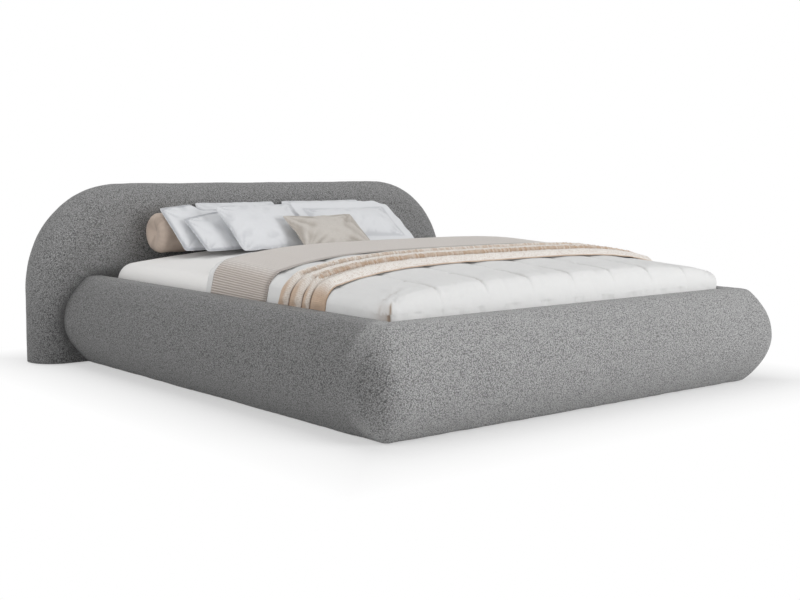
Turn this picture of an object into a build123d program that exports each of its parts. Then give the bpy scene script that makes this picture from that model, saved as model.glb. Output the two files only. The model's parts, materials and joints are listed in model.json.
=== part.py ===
from build123d import *
import os
from math import cos, radians, sin

# Upholstered bed, in millimetres. +X is right and +Y is towards the head, both seen from the foot,
# and +Z is up. The origin is on the floor under the middle of the whole bed.

os.makedirs("parts", exist_ok=True)

# Mattress, which sets the inside of the frame
mattress_width = 1800
mattress_length = 2000
mattress_side = 200
mattress_crown = 50
mattress_shoulder = 60
mattress_end_across = 140
mattress_end_up = 110
mattress_corner = 70
mattress_side_gap = 13
mattress_foot_gap = 15
mattress_head_gap = 60
mattress_sink = 134

# Upholstered rails
glide_height = 6
rail_height = 396
rail_floor_width = 75
rail_bulge = 115
rail_corner_floor_radius = 20
rail_corner_bulge_radius = 150
rail_top_radius = 60
cover_thickness = 3
rail_foam = 25
rail_board = 18
rail_bottom_board = 15
former_thickness = 18
former_pitch = 230
former_clearance = 0.5
level_shares = (0, 1 / 6, 1 / 3, 1 / 2, 2 / 3, 5 / 6, 1)
quarter_turn = 90

# Headboard
headboard_overhang = 113
headboard_height = 809
headboard_thickness = 250
headboard_corner_across = 448
headboard_corner_up = 475
headboard_edge_land = 2
headboard_rim = 98
headboard_front_foam = 40
headboard_front_board = 12
headboard_back_board = 9
headboard_back_panel = 8
headboard_bottom_plate = 18
rib_thickness = 18
rib_pitch = 225

# Glides under the covers
glide_radius = 16
glide_chamfer = 1.5
glide_spacing = 620
headboard_glide_spacing = 640

# Slatted base
slat_width = 68
slat_thickness = 8
slat_bow = 8
slat_count = 14
slat_end_margin = 60
slat_clearance = 1
seat_gap = 0.3
holder_wall = 4
holder_depth = 22
holder_edge_margin = 2
ledger_thickness = 25
ledger_height = 40
ledger_end_margin = 90
beam_width = 60
beam_height = 40
beam_wall = 2
beam_corner_radius = 4
hanger_plate = 4
hanger_lip = 30
leg_radius = 19
leg_wall = 2
leg_flange_radius = 28
leg_flange_thickness = 4
leg_foot_radius = 24
leg_foot_height = 14
leg_stem_radius = 5
leg_stem_length = 40
leg_tube_low = 22
leg_foot_round = 2
leg_place_shares = (0.2, 0.5, 0.8)

# Steel plates and their bolts
plate_thickness = 4
plate_leg = 64
plate_height = 150
plate_low = 40
plate_bend_radius = 6
bolt_radius = 4
bolt_clearance = 0.5
bolt_head_radius = 8
bolt_head_height = 4
bolt_hex = 5
bolt_hex_depth = 2.5
bolt_rise_shares = (0.25, 0.75)

# Bedding, with its hems given as drops below the mattress's top edge
soft_gap = 0.3
sheet_thickness = 2
sheet_drop = 172
duvet_side = 5.5
duvet_shoulder = 48
duvet_seam_count = 7
duvet_seam_pitch_share = 0.125
cover_arcs = 4
duvet_drop = 132
duvet_head_edge = 922
duvet_foot_reach = 8
cover_top_gap = 1.5
blanket_thickness = 2.4
blanket_drop = 117
blanket_head_share = 0.079
blanket_foot_share = 0.408
throw_thickness = 2.4
throw_ridge = 20
throw_ridges = 4
throw_steps_per_ridge = 4
throw_drop = 122
throw_head_share = 0.488
throw_foot_share = 0.707

# Duvet from its head edge to its foot: share of its length, rise of its side and of its middle over the
# mattress's top edge, and depth of its seams
duvet_stations = (
    (0, 35, 80, 6),
    (0.03, 58, 112, 10),
    (0.077, 61, 116, 10),
    (0.41, 38, 104, 10),
    (0.705, 10, 75, 10),
    (0.941, 4, 54, 7),
    (0.985, -12, 13, 4),
    (1, -37, -32, 3),
)

# Pillows: share of the mattress's width, height, thickness, middle across the bed as a share of the
# mattress's width, lower edge from the headboard, and tilt in degrees
pillow_seam = 3
pillow_length_shares = (-1, -0.8, -0.45, 0, 0.45, 0.8, 1)
pillow_fullness_shares = (0.05, 0.55, 0.9, 1, 0.9, 0.55, 0.05)
pillow_height_shares = (1, 0.97, 0.93, 0.92, 0.93, 0.97, 1)
pillow_flange = 50
pillow_flange_corner = 12
pillows = {
    "back_left_pillow": (0.261, 335, 84, -0.117, 268, 38),
    "back_right_pillow": (0.283, 335, 84, 0.169, 268, 38),
    "outer_layer_pillow": (0.311, 330, 38, -0.228, 364, 38),
    "inner_layer_pillow": (0.311, 260, 36, -0.194, 452, 33),
    "plump_pillow": (0.236, 320, 80, -0.162, 550, 37),
    "side_pillow": (0.333, 330, 96, 0.167, 445, 37),
    "accent_pillow": (0.222, 265, 80, -0.025, 680, 36),
}
flanged_pillows = ("side_pillow",)
bolster_length_share = 0.161
bolster_radius = 92
bolster_end_radius = 34
bolster_mouth_radius = 10
bolster_mouth_depth = 12
bolster_middle_share = -0.339
bolster_from_headboard = 97
bolster_sink = 6

overrun = 20

# Places that follow from these sizes
inner_half_width = mattress_width / 2 + mattress_side_gap
floor_half_width = inner_half_width + rail_floor_width
headboard_width = 2 * (floor_half_width + rail_bulge + headboard_overhang)
base_length = rail_floor_width + mattress_foot_gap + mattress_length + mattress_head_gap
overall_length = rail_bulge + base_length + headboard_thickness
foot_floor_y = rail_bulge - overall_length / 2
foot_inner_y = foot_floor_y + rail_floor_width
headboard_back_y = overall_length / 2
headboard_front_y = headboard_back_y - headboard_thickness
rail_reach = rail_floor_width + rail_bulge + overrun
side_rail_length = headboard_front_y - foot_inner_y

mattress_foot_y = foot_inner_y + mattress_foot_gap
mattress_head_y = mattress_foot_y + mattress_length
mattress_middle_y = (mattress_foot_y + mattress_head_y) / 2
mattress_low = rail_height - mattress_sink
mattress_edge_top = mattress_low + mattress_side
mattress_side_top = mattress_edge_top - mattress_shoulder
sheet_hem = mattress_edge_top - sheet_drop
duvet_hem = mattress_edge_top - duvet_drop
duvet_head_y = headboard_front_y - duvet_head_edge
duvet_length = duvet_head_y - mattress_foot_y + duvet_foot_reach

slat_top = mattress_low - seat_gap
slat_end_low = slat_top - slat_bow - slat_thickness
ledger_top = slat_end_low - slat_clearance - holder_wall
ledger_low = ledger_top - ledger_height


def keep(builder, name):
    """Label a finished sub-part and write its STEP file."""
    builder.part.label = name
    export_step(builder.part, f"parts/{name}.step")


def bulge_at(height):
    """How far the rails stand out past their floor line at a height."""
    middle = (glide_height + rail_height) / 2
    share = (height - middle) / (rail_height - middle)
    return rail_bulge * (1 - share**2)


def corner_radius_at(height):
    """Plan radius of the foot corners: tight at floor and top, wide where the rails bulge."""
    share = bulge_at(height) / rail_bulge
    return rail_corner_floor_radius + share * (rail_corner_bulge_radius - rail_corner_floor_radius)


# Rails

def base_block(inset, low, high):
    """Solid inside the bulging outer faces of all three rails, drawn in by inset."""
    with BuildPart() as block:
        for share in level_shares:
            height = low + share * (high - low)
            half = floor_half_width + bulge_at(height) - inset
            foot = foot_floor_y - bulge_at(height) + inset
            with BuildSketch(Plane.XY.offset(height)) as level:
                with Locations((0, (foot + headboard_front_y) / 2)):
                    Rectangle(2 * half, headboard_front_y - foot)
                fillet(level.vertices().group_by(Axis.Y)[0], corner_radius_at(height) - inset / 2)
        loft()
        top_edges = block.faces().sort_by(Axis.Z)[-1].edges().sort_by(Axis.Y)[:-1]
        fillet(top_edges, rail_top_radius - inset)
    return block.part


def side_outline(inset):
    """Plan of the left rail: mitred at the foot corner, square against the headboard."""
    inner = -inner_half_width - inset
    corner = foot_inner_y - inset
    return [
        (inner, corner),
        (inner, headboard_front_y),
        (inner - rail_reach, headboard_front_y),
        (inner - rail_reach, corner - rail_reach),
    ]


def foot_outline(inset):
    """Plan of the foot rail: mitred at both ends."""
    inner = inner_half_width + inset
    corner = foot_inner_y - inset
    return [
        (-inner, corner),
        (-inner - rail_reach, corner - rail_reach),
        (inner + rail_reach, corner - rail_reach),
        (inner, corner),
    ]


def rail_solid(block, outline, low, high):
    """The stretch of the base block that one rail takes up."""
    with BuildPart() as rail:
        add(block)
        with BuildSketch(Plane.XY.offset(low)):
            Polygon(*outline, align=None)
        extrude(amount=high - low, mode=Mode.INTERSECT)
    return rail.part


cover_block = base_block(0, glide_height, rail_height)
lining_low = glide_height + cover_thickness
lining_high = rail_height - cover_thickness
lining_block = base_block(cover_thickness, lining_low, lining_high)
frame_high = lining_high - rail_foam
frame_block = base_block(cover_thickness + rail_foam, lining_low, frame_high)


def rail_cover(outline):
    """Fabric sleeve of one rail, open at both ends."""
    with BuildPart() as sleeve:
        add(rail_solid(cover_block, outline(0), glide_height, rail_height))
        add(rail_solid(lining_block, outline(cover_thickness), lining_low, lining_high), mode=Mode.SUBTRACT)
    return sleeve.part


def rail_padding(outline):
    """Foam over the bulge and the top edge of one rail."""
    with BuildPart() as padding:
        add(rail_solid(lining_block, outline(cover_thickness), lining_low, lining_high))
        add(rail_solid(frame_block, outline(cover_thickness), lining_low, frame_high), mode=Mode.SUBTRACT)
    return padding.part


board_low = lining_low + rail_bottom_board
bottom_board_width = rail_floor_width - 2 * cover_thickness - rail_foam


def board_solid(outline, inset, width, low, high):
    """Straight board with mitred ends, inset from a rail's inner face."""
    with BuildPart() as board:
        with BuildSketch(Plane.XY.offset(low)):
            Polygon(*outline(cover_thickness + inset), align=None)
            Polygon(*outline(cover_thickness + inset + width), align=None, mode=Mode.SUBTRACT)
        extrude(amount=high - low)
    return board.part


def former_profile(plane):
    """Section of a former: flat on the inner board, bulging outwards, as seen along a rail."""
    start = rail_board + cover_thickness
    reach = rail_floor_width - cover_thickness - rail_foam - former_clearance
    heights = [board_low + share * (frame_high - board_low) for share in level_shares]
    points = [(reach + bulge_at(height), height) for height in heights]
    with BuildSketch(plane) as profile:
        with BuildLine():
            for first in range(0, len(points) - 1, 2):
                ThreePointArc(*points[first : first + 3])
            Polyline(points[-1], (start, frame_high), (start, board_low), points[0])
        make_face()
    return profile.sketch


# Bolts through the inner faces: at the foot corners and where the rails meet the headboard
bolt_heights = [plate_low + share * plate_height for share in bolt_rise_shares]
bolt_setback = plate_thickness + (plate_leg - plate_thickness) / 2
side_bolt_ys = (foot_inner_y + bolt_setback, headboard_front_y - bolt_setback)
end_bolt_x = inner_half_width - bolt_setback
side_bolt_grip = plate_thickness + cover_thickness + rail_board
head_bolt_grip = plate_thickness + cover_thickness + headboard_front_foam + headboard_front_board


def bolt_places():
    """Where each bolt's head seats, the way it points, and how far it grips."""
    places = []
    for height in bolt_heights:
        for side in (-1, 1):
            for y in side_bolt_ys:
                beside = Vector(side * (inner_half_width - plate_thickness), y, height)
                places.append((beside, (side, 0, 0), side_bolt_grip))
            foot = Vector(side * end_bolt_x, foot_inner_y + plate_thickness, height)
            places.append((foot, (0, -1, 0), side_bolt_grip))
            head = Vector(side * end_bolt_x, headboard_front_y - plate_thickness, height)
            places.append((head, (0, 1, 0), head_bolt_grip))
    return places


def bolt_shanks(radius):
    """Cylinders along every bolt, for the bolts' own shanks or for the holes they pass through."""
    with BuildPart() as shanks:
        for seat, way, grip in bolt_places():
            with BuildSketch(Plane(origin=seat, z_dir=way)):
                Circle(radius)
            extrude(amount=grip)
    return shanks.part


bolt_holes = bolt_shanks(bolt_radius + bolt_clearance)

with BuildPart() as left_rail_cover:
    add(rail_cover(side_outline))
    add(bolt_holes, mode=Mode.SUBTRACT)
keep(left_rail_cover, "left_rail_cover")

with BuildPart() as left_rail_foam:
    add(rail_padding(side_outline))
keep(left_rail_foam, "left_rail_foam")

with BuildPart() as left_rail_board:
    add(board_solid(side_outline, 0, rail_board, board_low, frame_high))
    add(bolt_holes, mode=Mode.SUBTRACT)
keep(left_rail_board, "left_rail_board")

with BuildPart() as left_rail_bottom:
    add(board_solid(side_outline, 0, bottom_board_width, lining_low, board_low))
keep(left_rail_bottom, "left_rail_bottom")

side_former_count = round(side_rail_length / former_pitch)
with BuildPart() as left_rail_formers:
    for index in range(side_former_count):
        former_y = foot_inner_y + (index + 1 / 2) * side_rail_length / side_former_count
        station = Plane(origin=(-inner_half_width, former_y, 0), x_dir=(-1, 0, 0), z_dir=(0, 1, 0))
        extrude(former_profile(station), amount=former_thickness / 2, both=True)
keep(left_rail_formers, "left_rail_formers")

for left_piece, name in (
    (left_rail_cover, "right_rail_cover"),
    (left_rail_foam, "right_rail_foam"),
    (left_rail_board, "right_rail_board"),
    (left_rail_bottom, "right_rail_bottom"),
    (left_rail_formers, "right_rail_formers"),
):
    with BuildPart() as right_piece:
        mirror(left_piece.part, about=Plane.YZ)
    keep(right_piece, name)

with BuildPart() as foot_rail_cover:
    add(rail_cover(foot_outline))
    add(bolt_holes, mode=Mode.SUBTRACT)
keep(foot_rail_cover, "foot_rail_cover")

with BuildPart() as foot_rail_foam:
    add(rail_padding(foot_outline))
keep(foot_rail_foam, "foot_rail_foam")

with BuildPart() as foot_rail_board:
    add(board_solid(foot_outline, 0, rail_board, board_low, frame_high))
    add(bolt_holes, mode=Mode.SUBTRACT)
keep(foot_rail_board, "foot_rail_board")

with BuildPart() as foot_rail_bottom:
    add(board_solid(foot_outline, 0, bottom_board_width, lining_low, board_low))
keep(foot_rail_bottom, "foot_rail_bottom")

foot_former_count = round(2 * inner_half_width / former_pitch)
with BuildPart() as foot_rail_formers:
    for index in range(foot_former_count):
        former_x = ((index + 1 / 2) / foot_former_count - 1 / 2) * 2 * inner_half_width
        station = Plane(origin=(former_x, foot_inner_y, 0), x_dir=(0, -1, 0), z_dir=(-1, 0, 0))
        extrude(former_profile(station), amount=former_thickness / 2, both=True)
keep(foot_rail_formers, "foot_rail_formers")


# Headboard

def arch(place_y, inset, low):
    """Outline of the headboard at a place along Y, drawn in by inset."""
    half = headboard_width / 2 - inset
    top = headboard_height - inset
    across = headboard_corner_across - inset
    up = headboard_corner_up - inset
    left_turn, right_turn = (across - half, top - up), (half - across, top - up)
    with BuildSketch(Plane.XZ.offset(-place_y)) as outline:
        with BuildLine():
            Line((-half, low), (-half, top - up))
            EllipticalCenterArc(left_turn, across, up, 2 * quarter_turn, arc_size=-quarter_turn)
            Line((across - half, top), (half - across, top))
            EllipticalCenterArc(right_turn, across, up, quarter_turn, arc_size=-quarter_turn)
            Line((half, top - up), (half, low))
            Line((half, low), (-half, low))
        make_face()
    return outline.sketch


def headboard_block(inset):
    """Arched slab with full-round edges, drawn in by inset all round."""
    low = glide_height + inset
    with BuildPart() as block:
        extrude(arch(headboard_back_y - inset, inset, low), amount=headboard_thickness - 2 * inset)
        rims = block.faces().filter_by(Axis.Y).edges().sort_by(Axis.Z)[2:]
        fillet(rims, (headboard_thickness - headboard_edge_land) / 2 - inset)
    return block.part


def carcass_slab(front, back, low):
    """Flat arched slab of the carcass outline between two places along Y."""
    with BuildPart() as slab:
        extrude(arch(back, headboard_rim, low), amount=back - front)
    return slab.part


carcass_front_y = headboard_front_y + cover_thickness + headboard_front_foam
carcass_back_y = headboard_back_y - headboard_back_panel
ribs_front_y = carcass_front_y + headboard_front_board
ribs_back_y = carcass_back_y - headboard_back_board
carcass_low = glide_height + cover_thickness
headboard_lining = headboard_block(cover_thickness)

with BuildPart() as headboard_cover:
    add(headboard_block(0))
    add(headboard_lining, mode=Mode.SUBTRACT)
    add(carcass_slab(carcass_back_y, headboard_back_y, carcass_low), mode=Mode.SUBTRACT)
    add(bolt_holes, mode=Mode.SUBTRACT)
keep(headboard_cover, "headboard_cover")

with BuildPart() as headboard_front_pad:
    add(headboard_lining)
    split(bisect_by=Plane.XZ.offset(-carcass_front_y), keep=Keep.TOP)
    add(bolt_holes, mode=Mode.SUBTRACT)
keep(headboard_front_pad, "headboard_front_pad")

with BuildPart() as headboard_rim_foam:
    add(headboard_lining)
    split(bisect_by=Plane.XZ.offset(-carcass_front_y), keep=Keep.BOTTOM)
    add(carcass_slab(carcass_front_y, headboard_back_y, carcass_low), mode=Mode.SUBTRACT)
keep(headboard_rim_foam, "headboard_rim_foam")

with BuildPart() as headboard_front_panel:
    add(carcass_slab(carcass_front_y, ribs_front_y, carcass_low))
    add(bolt_holes, mode=Mode.SUBTRACT)
keep(headboard_front_panel, "headboard_front_panel")

with BuildPart() as headboard_back_panel_board:
    add(carcass_slab(ribs_back_y, carcass_back_y, carcass_low))
keep(headboard_back_panel_board, "headboard_back_panel")

with BuildPart() as headboard_back_cover:
    add(carcass_slab(carcass_back_y, headboard_back_y, carcass_low))
keep(headboard_back_cover, "headboard_back_cover")

with BuildPart() as headboard_bottom_rail:
    with BuildSketch(Plane.XY.offset(carcass_low)):
        with Locations((0, (ribs_front_y + ribs_back_y) / 2)):
            Rectangle(headboard_width - 2 * headboard_rim, ribs_back_y - ribs_front_y)
    extrude(amount=headboard_bottom_plate)
keep(headboard_bottom_rail, "headboard_bottom_rail")

rib_low = carcass_low + headboard_bottom_plate
rib_span = headboard_width - 2 * headboard_rim - rib_thickness
rib_gaps = round(rib_span / rib_pitch)
with BuildPart() as headboard_ribs:
    add(carcass_slab(ribs_front_y, ribs_back_y, rib_low))
    with BuildSketch(Plane.XZ.offset(-ribs_back_y)):
        for index in range(rib_gaps + 1):
            with Locations(((index / rib_gaps - 1 / 2) * rib_span, rib_low)):
                Rectangle(rib_thickness, headboard_height, align=(Align.CENTER, Align.MIN))
    extrude(amount=ribs_back_y - ribs_front_y, mode=Mode.INTERSECT)
keep(headboard_ribs, "headboard_ribs")


# Glides

def glides(places):
    """Low round glides under a cover, chamfered at the floor."""
    with BuildPart() as discs:
        with BuildSketch():
            with Locations(*places):
                Circle(glide_radius)
        extrude(amount=glide_height)
        chamfer(discs.edges().group_by(Axis.Z)[0], glide_chamfer)
    return discs.part


rail_glide_x = inner_half_width + rail_floor_width / 2
foot_glide_y = foot_inner_y - rail_floor_width / 2
side_glide_ys = [(foot_inner_y + headboard_front_y) / 2 + step * glide_spacing for step in (-1, 0, 1)]
headboard_glide_y = (ribs_front_y + ribs_back_y) / 2

with BuildPart() as side_rail_glides:
    add(glides([(side * rail_glide_x, y) for side in (-1, 1) for y in side_glide_ys]))
keep(side_rail_glides, "side_rail_glides")

with BuildPart() as foot_rail_glides:
    add(glides([(step * glide_spacing, foot_glide_y) for step in (-1, 0, 1)]))
keep(foot_rail_glides, "foot_rail_glides")

with BuildPart() as headboard_glides:
    add(glides([(step * headboard_glide_spacing / 2, headboard_glide_y) for step in (-3, -1, 1, 3)]))
keep(headboard_glides, "headboard_glides")


# Slatted base

ledger_length = side_rail_length - 2 * ledger_end_margin
ledger_middle_y = (foot_inner_y + headboard_front_y) / 2
for side, name in ((-1, "left_ledger"), (1, "right_ledger")):
    with BuildPart() as ledger:
        with BuildSketch(Plane.XY.offset(ledger_low)):
            with Locations((side * (inner_half_width - ledger_thickness / 2), ledger_middle_y)):
                Rectangle(ledger_thickness, ledger_length)
        extrude(amount=ledger_height)
    keep(ledger, name)

beam_length = side_rail_length - 2 * hanger_plate
with BuildPart() as centre_beam:
    with BuildSketch(Plane.XZ.offset(-foot_inner_y - hanger_plate)):
        with Locations((0, (ledger_low + ledger_top) / 2)):
            RectangleRounded(beam_width, beam_height, beam_corner_radius)
            RectangleRounded(
                beam_width - 2 * beam_wall,
                beam_height - 2 * beam_wall,
                beam_corner_radius - beam_wall,
                mode=Mode.SUBTRACT,
            )
    extrude(amount=-beam_length)
keep(centre_beam, "centre_beam")

# Each hanger is a stirrup of bent plate on an inner face, with the beam's end standing in it
stirrup_width = beam_width + 2 * (hanger_plate + seat_gap)
stirrup_height = beam_height / 2 + hanger_plate
for face_y, way, name in (
    (foot_inner_y, 1, "foot_beam_hanger"),
    (headboard_front_y, -1, "head_beam_hanger"),
):
    with BuildPart() as hanger:
        with BuildSketch(Plane.XY.offset(ledger_low - hanger_plate)):
            with Locations((0, face_y + way * (hanger_plate + hanger_lip) / 2)):
                Rectangle(stirrup_width, hanger_plate + hanger_lip)
        extrude(amount=stirrup_height)
        with BuildSketch(Plane.XY.offset(ledger_low)):
            with Locations((0, face_y + way * (hanger_plate + (hanger_lip + overrun) / 2))):
                Rectangle(beam_width + 2 * seat_gap, hanger_lip + overrun)
        extrude(amount=stirrup_height, mode=Mode.SUBTRACT)
    keep(hanger, name)

# Sprung slats in two columns, each held in a cap at both ends
slat_outer_x = inner_half_width - holder_edge_margin - holder_wall
slat_inner_x = holder_edge_margin + holder_wall
slat_length = slat_outer_x - slat_inner_x
slat_middle_x = (slat_outer_x + slat_inner_x) / 2
slat_run = mattress_length - 2 * slat_end_margin - slat_width
slat_pitch = slat_run / (slat_count - 1)
first_slat_y = mattress_foot_y + slat_end_margin + slat_width / 2
slat_ys = [first_slat_y + index * slat_pitch for index in range(slat_count)]
holder_width = slat_width + 2 * (slat_clearance + holder_wall)
holder_height = slat_thickness + 2 * (slat_clearance + holder_wall)


def slats(middle_x):
    """One column of slats, bowed upwards between their ends."""
    left_end = (middle_x - slat_length / 2, slat_end_low)
    middle = (middle_x, slat_end_low + slat_bow)
    right_end = (middle_x + slat_length / 2, slat_end_low)
    upper = [(x, z + slat_thickness) for x, z in (left_end, middle, right_end)]
    with BuildPart() as column:
        for y in slat_ys:
            with BuildSketch(Plane.XZ.offset(-y)):
                with BuildLine():
                    ThreePointArc(left_end, middle, right_end)
                    Line(right_end, upper[2])
                    ThreePointArc(*upper)
                    Line(upper[0], left_end)
                make_face()
            extrude(amount=slat_width / 2, both=True)
    return column.part


with BuildPart() as left_slats:
    add(slats(-slat_middle_x))
keep(left_slats, "left_slats")

with BuildPart() as right_slats:
    add(slats(slat_middle_x))
keep(right_slats, "right_slats")


def slat_holders(outer_way, middle_x):
    """Caps on both sides of the bed, each open on the side that its slat comes from."""
    with BuildPart() as caps:
        for side in (-1, 1):
            with BuildSketch(Plane.XY.offset(ledger_top)):
                with Locations(*[(side * middle_x, y) for y in slat_ys]):
                    Rectangle(holder_depth, holder_width)
            extrude(amount=holder_height)
            with BuildSketch(Plane.XY.offset(ledger_top + holder_wall)):
                with Locations(*[(side * (middle_x - outer_way * holder_wall), y) for y in slat_ys]):
                    Rectangle(holder_depth, slat_width + 2 * slat_clearance)
            extrude(amount=slat_thickness + 2 * slat_clearance, mode=Mode.SUBTRACT)
    return caps.part


with BuildPart() as outer_slat_holders:
    add(slat_holders(1, inner_half_width - holder_edge_margin - holder_depth / 2))
keep(outer_slat_holders, "outer_slat_holders")

with BuildPart() as inner_slat_holders:
    add(slat_holders(-1, holder_edge_margin + holder_depth / 2))
keep(inner_slat_holders, "inner_slat_holders")


# Legs under the beam

def centre_leg(leg_y):
    """Tube with a flange against the beam and an end plate that the levelling foot screws into."""
    flange_low = ledger_low - leg_flange_thickness
    plate_top = leg_tube_low + leg_flange_thickness
    with BuildPart() as leg:
        with BuildSketch(Plane.XY.offset(flange_low)):
            with Locations((0, leg_y)):
                Circle(leg_flange_radius)
        extrude(amount=leg_flange_thickness)
        with BuildSketch(Plane.XY.offset(leg_tube_low)):
            with Locations((0, leg_y)):
                Circle(leg_radius)
        extrude(amount=flange_low - leg_tube_low)
        with BuildSketch(Plane.XY.offset(plate_top)):
            with Locations((0, leg_y)):
                Circle(leg_radius - leg_wall)
        extrude(amount=flange_low - plate_top, mode=Mode.SUBTRACT)
        with BuildSketch(Plane.XY.offset(leg_tube_low)):
            with Locations((0, leg_y)):
                Circle(leg_stem_radius + seat_gap)
        extrude(amount=leg_flange_thickness, mode=Mode.SUBTRACT)
    return leg.part


def levelling_foot(leg_y):
    """Round foot with a threaded stem up into the leg."""
    with BuildPart() as foot:
        with BuildSketch():
            with Locations((0, leg_y)):
                Circle(leg_foot_radius)
        extrude(amount=leg_foot_height)
        chamfer(foot.edges().group_by(Axis.Z)[0], glide_chamfer)
        fillet(foot.edges().group_by(Axis.Z)[-1], leg_foot_round)
        with BuildSketch(Plane.XY.offset(leg_foot_height)):
            with Locations((0, leg_y)):
                Circle(leg_stem_radius)
        extrude(amount=leg_stem_length)
    return foot.part


for number, share in enumerate(leg_place_shares, start=1):
    leg_y = mattress_foot_y + share * mattress_length
    with BuildPart() as leg_tube:
        add(centre_leg(leg_y))
    keep(leg_tube, f"centre_leg_{number}")
    with BuildPart() as leg_foot:
        add(levelling_foot(leg_y))
    keep(leg_foot, f"leg_foot_{number}")


# Steel plates and their bolts

def corner_plate(side, face_y, way):
    """Bent plate in an inner corner: one leg on the side rail, one on the end face."""
    corner_x = side * inner_half_width
    with BuildPart() as plate:
        with BuildSketch(Plane.XY.offset(plate_low)):
            Polygon(
                (corner_x, face_y),
                (corner_x, face_y + way * plate_leg),
                (corner_x - side * plate_thickness, face_y + way * plate_leg),
                (corner_x - side * plate_thickness, face_y + way * plate_thickness),
                (corner_x - side * plate_leg, face_y + way * plate_thickness),
                (corner_x - side * plate_leg, face_y),
                align=None,
            )
        extrude(amount=plate_height)
        inner_bend = plate.edges().filter_by(Axis.Z).sort_by_distance((corner_x, face_y, plate_low))[1:2]
        fillet(inner_bend, plate_bend_radius)
        add(bolt_holes, mode=Mode.SUBTRACT)
    return plate.part


with BuildPart() as foot_corner_plates:
    for side in (-1, 1):
        add(corner_plate(side, foot_inner_y, 1))
keep(foot_corner_plates, "foot_corner_plates")

with BuildPart() as head_corner_plates:
    for side in (-1, 1):
        add(corner_plate(side, headboard_front_y, -1))
keep(head_corner_plates, "head_corner_plates")

with BuildPart() as plate_bolts:
    add(bolt_shanks(bolt_radius))
    for seat, way, grip in bolt_places():
        with BuildSketch(Plane(origin=seat, z_dir=way)):
            Circle(bolt_head_radius)
        extrude(amount=-bolt_head_height)
        with BuildSketch(Plane(origin=seat - Vector(*way) * bolt_head_height, z_dir=way)):
            RegularPolygon(bolt_hex / 2, 6, major_radius=False)
        extrude(amount=bolt_hex_depth, mode=Mode.SUBTRACT)
keep(plate_bolts, "plate_bolts")


# Mattress and fitted sheet

def cushion_plan(grow, low):
    """Plan of the mattress with rounded corners, grown outwards all round."""
    with BuildSketch(Plane.XY.offset(low)) as plan:
        with Locations((0, mattress_middle_y)):
            RectangleRounded(mattress_width + 2 * grow, mattress_length + 2 * grow, mattress_corner + grow)
    return plan.sketch


def mattress_block(grow):
    """Mattress with round shoulders, a crown across it and rolled ends, grown outwards all round."""
    half = mattress_width / 2 + grow
    edge = mattress_width / 2 - mattress_shoulder
    shoulder = mattress_shoulder + grow
    edge_top = mattress_edge_top + grow
    crown_top = edge_top + mattress_crown
    left_turn, right_turn = (-edge, mattress_side_top), (edge, mattress_side_top)
    foot = mattress_foot_y + mattress_end_across
    head = mattress_head_y - mattress_end_across
    across = mattress_end_across + grow
    up = mattress_end_up + grow
    roll_low = crown_top - up
    with BuildPart() as block:
        extrude(cushion_plan(grow, mattress_low), amount=crown_top - mattress_low)
        with BuildSketch(Plane.XZ.offset(-mattress_head_y - overrun)):
            with BuildLine():
                Polyline((-half, mattress_side_top), (-half, mattress_low), (half, mattress_low))
                Line((half, mattress_low), (half, mattress_side_top))
                EllipticalCenterArc(right_turn, shoulder, shoulder, 0, arc_size=quarter_turn)
                ThreePointArc((edge, edge_top), (0, crown_top), (-edge, edge_top))
                EllipticalCenterArc(left_turn, shoulder, shoulder, quarter_turn, arc_size=quarter_turn)
            make_face()
        extrude(amount=mattress_length + 2 * overrun, mode=Mode.INTERSECT)
        with BuildSketch(Plane.YZ.offset(-half - overrun)):
            with BuildLine():
                Line((foot - across, roll_low), (foot - across, mattress_low))
                Line((foot - across, mattress_low), (head + across, mattress_low))
                Line((head + across, mattress_low), (head + across, roll_low))
                EllipticalCenterArc((head, roll_low), across, up, 0, arc_size=quarter_turn)
                Line((head, crown_top), (foot, crown_top))
                EllipticalCenterArc((foot, roll_low), across, up, quarter_turn, arc_size=quarter_turn)
            make_face()
        extrude(amount=2 * (half + overrun), mode=Mode.INTERSECT)
    return block.part


def above(height):
    """Block over the whole bed from a height upwards, for trimming cloth to its hem."""
    with BuildPart() as upper:
        with BuildSketch(Plane.XY.offset(height)):
            Rectangle(headboard_width, overall_length)
        extrude(amount=headboard_height)
    return upper.part


with BuildPart() as mattress:
    add(mattress_block(0))
keep(mattress, "mattress")

sheet_outside = soft_gap + sheet_thickness
with BuildPart() as fitted_sheet:
    add(mattress_block(sheet_outside))
    add(mattress_block(soft_gap), mode=Mode.SUBTRACT)
    add(above(sheet_hem), mode=Mode.INTERSECT)
keep(fitted_sheet, "fitted_sheet")


# Duvet, blanket and throw, all lofted along the bed over the same crown

duvet_inside = sheet_outside + soft_gap
duvet_half = mattress_width / 2 + duvet_inside + duvet_side
seam_half = duvet_half - duvet_shoulder
seam_pitch = duvet_seam_pitch_share * mattress_width
inner_seam_xs = [(index - (duvet_seam_count - 1) / 2) * seam_pitch for index in range(duvet_seam_count)]
seam_xs = [-seam_half, *inner_seam_xs, seam_half]
crown_xs = [(index / cover_arcs - 1) * seam_half for index in range(2 * cover_arcs + 1)]


def crown_height(edge, middle, x):
    """Height of the duvet's crown at a place across the bed."""
    return edge + (middle - edge) * (1 - (x / duvet_half) ** 4)


def shoulder_arc(side, half, low, top):
    """Round shoulder from the vertical side at low up to the outermost seam line at top."""
    turn = radians(45)
    reach = half - seam_half
    ThreePointArc(
        (side * half, low),
        (side * (seam_half + reach * cos(turn)), low + (top - low) * sin(turn)),
        (side * seam_half, top),
    )


def across_duvet(share):
    """Plane across the bed at a share of the duvet's length from its head edge."""
    return Plane.XZ.offset(share * duvet_length - duvet_head_y)


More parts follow.
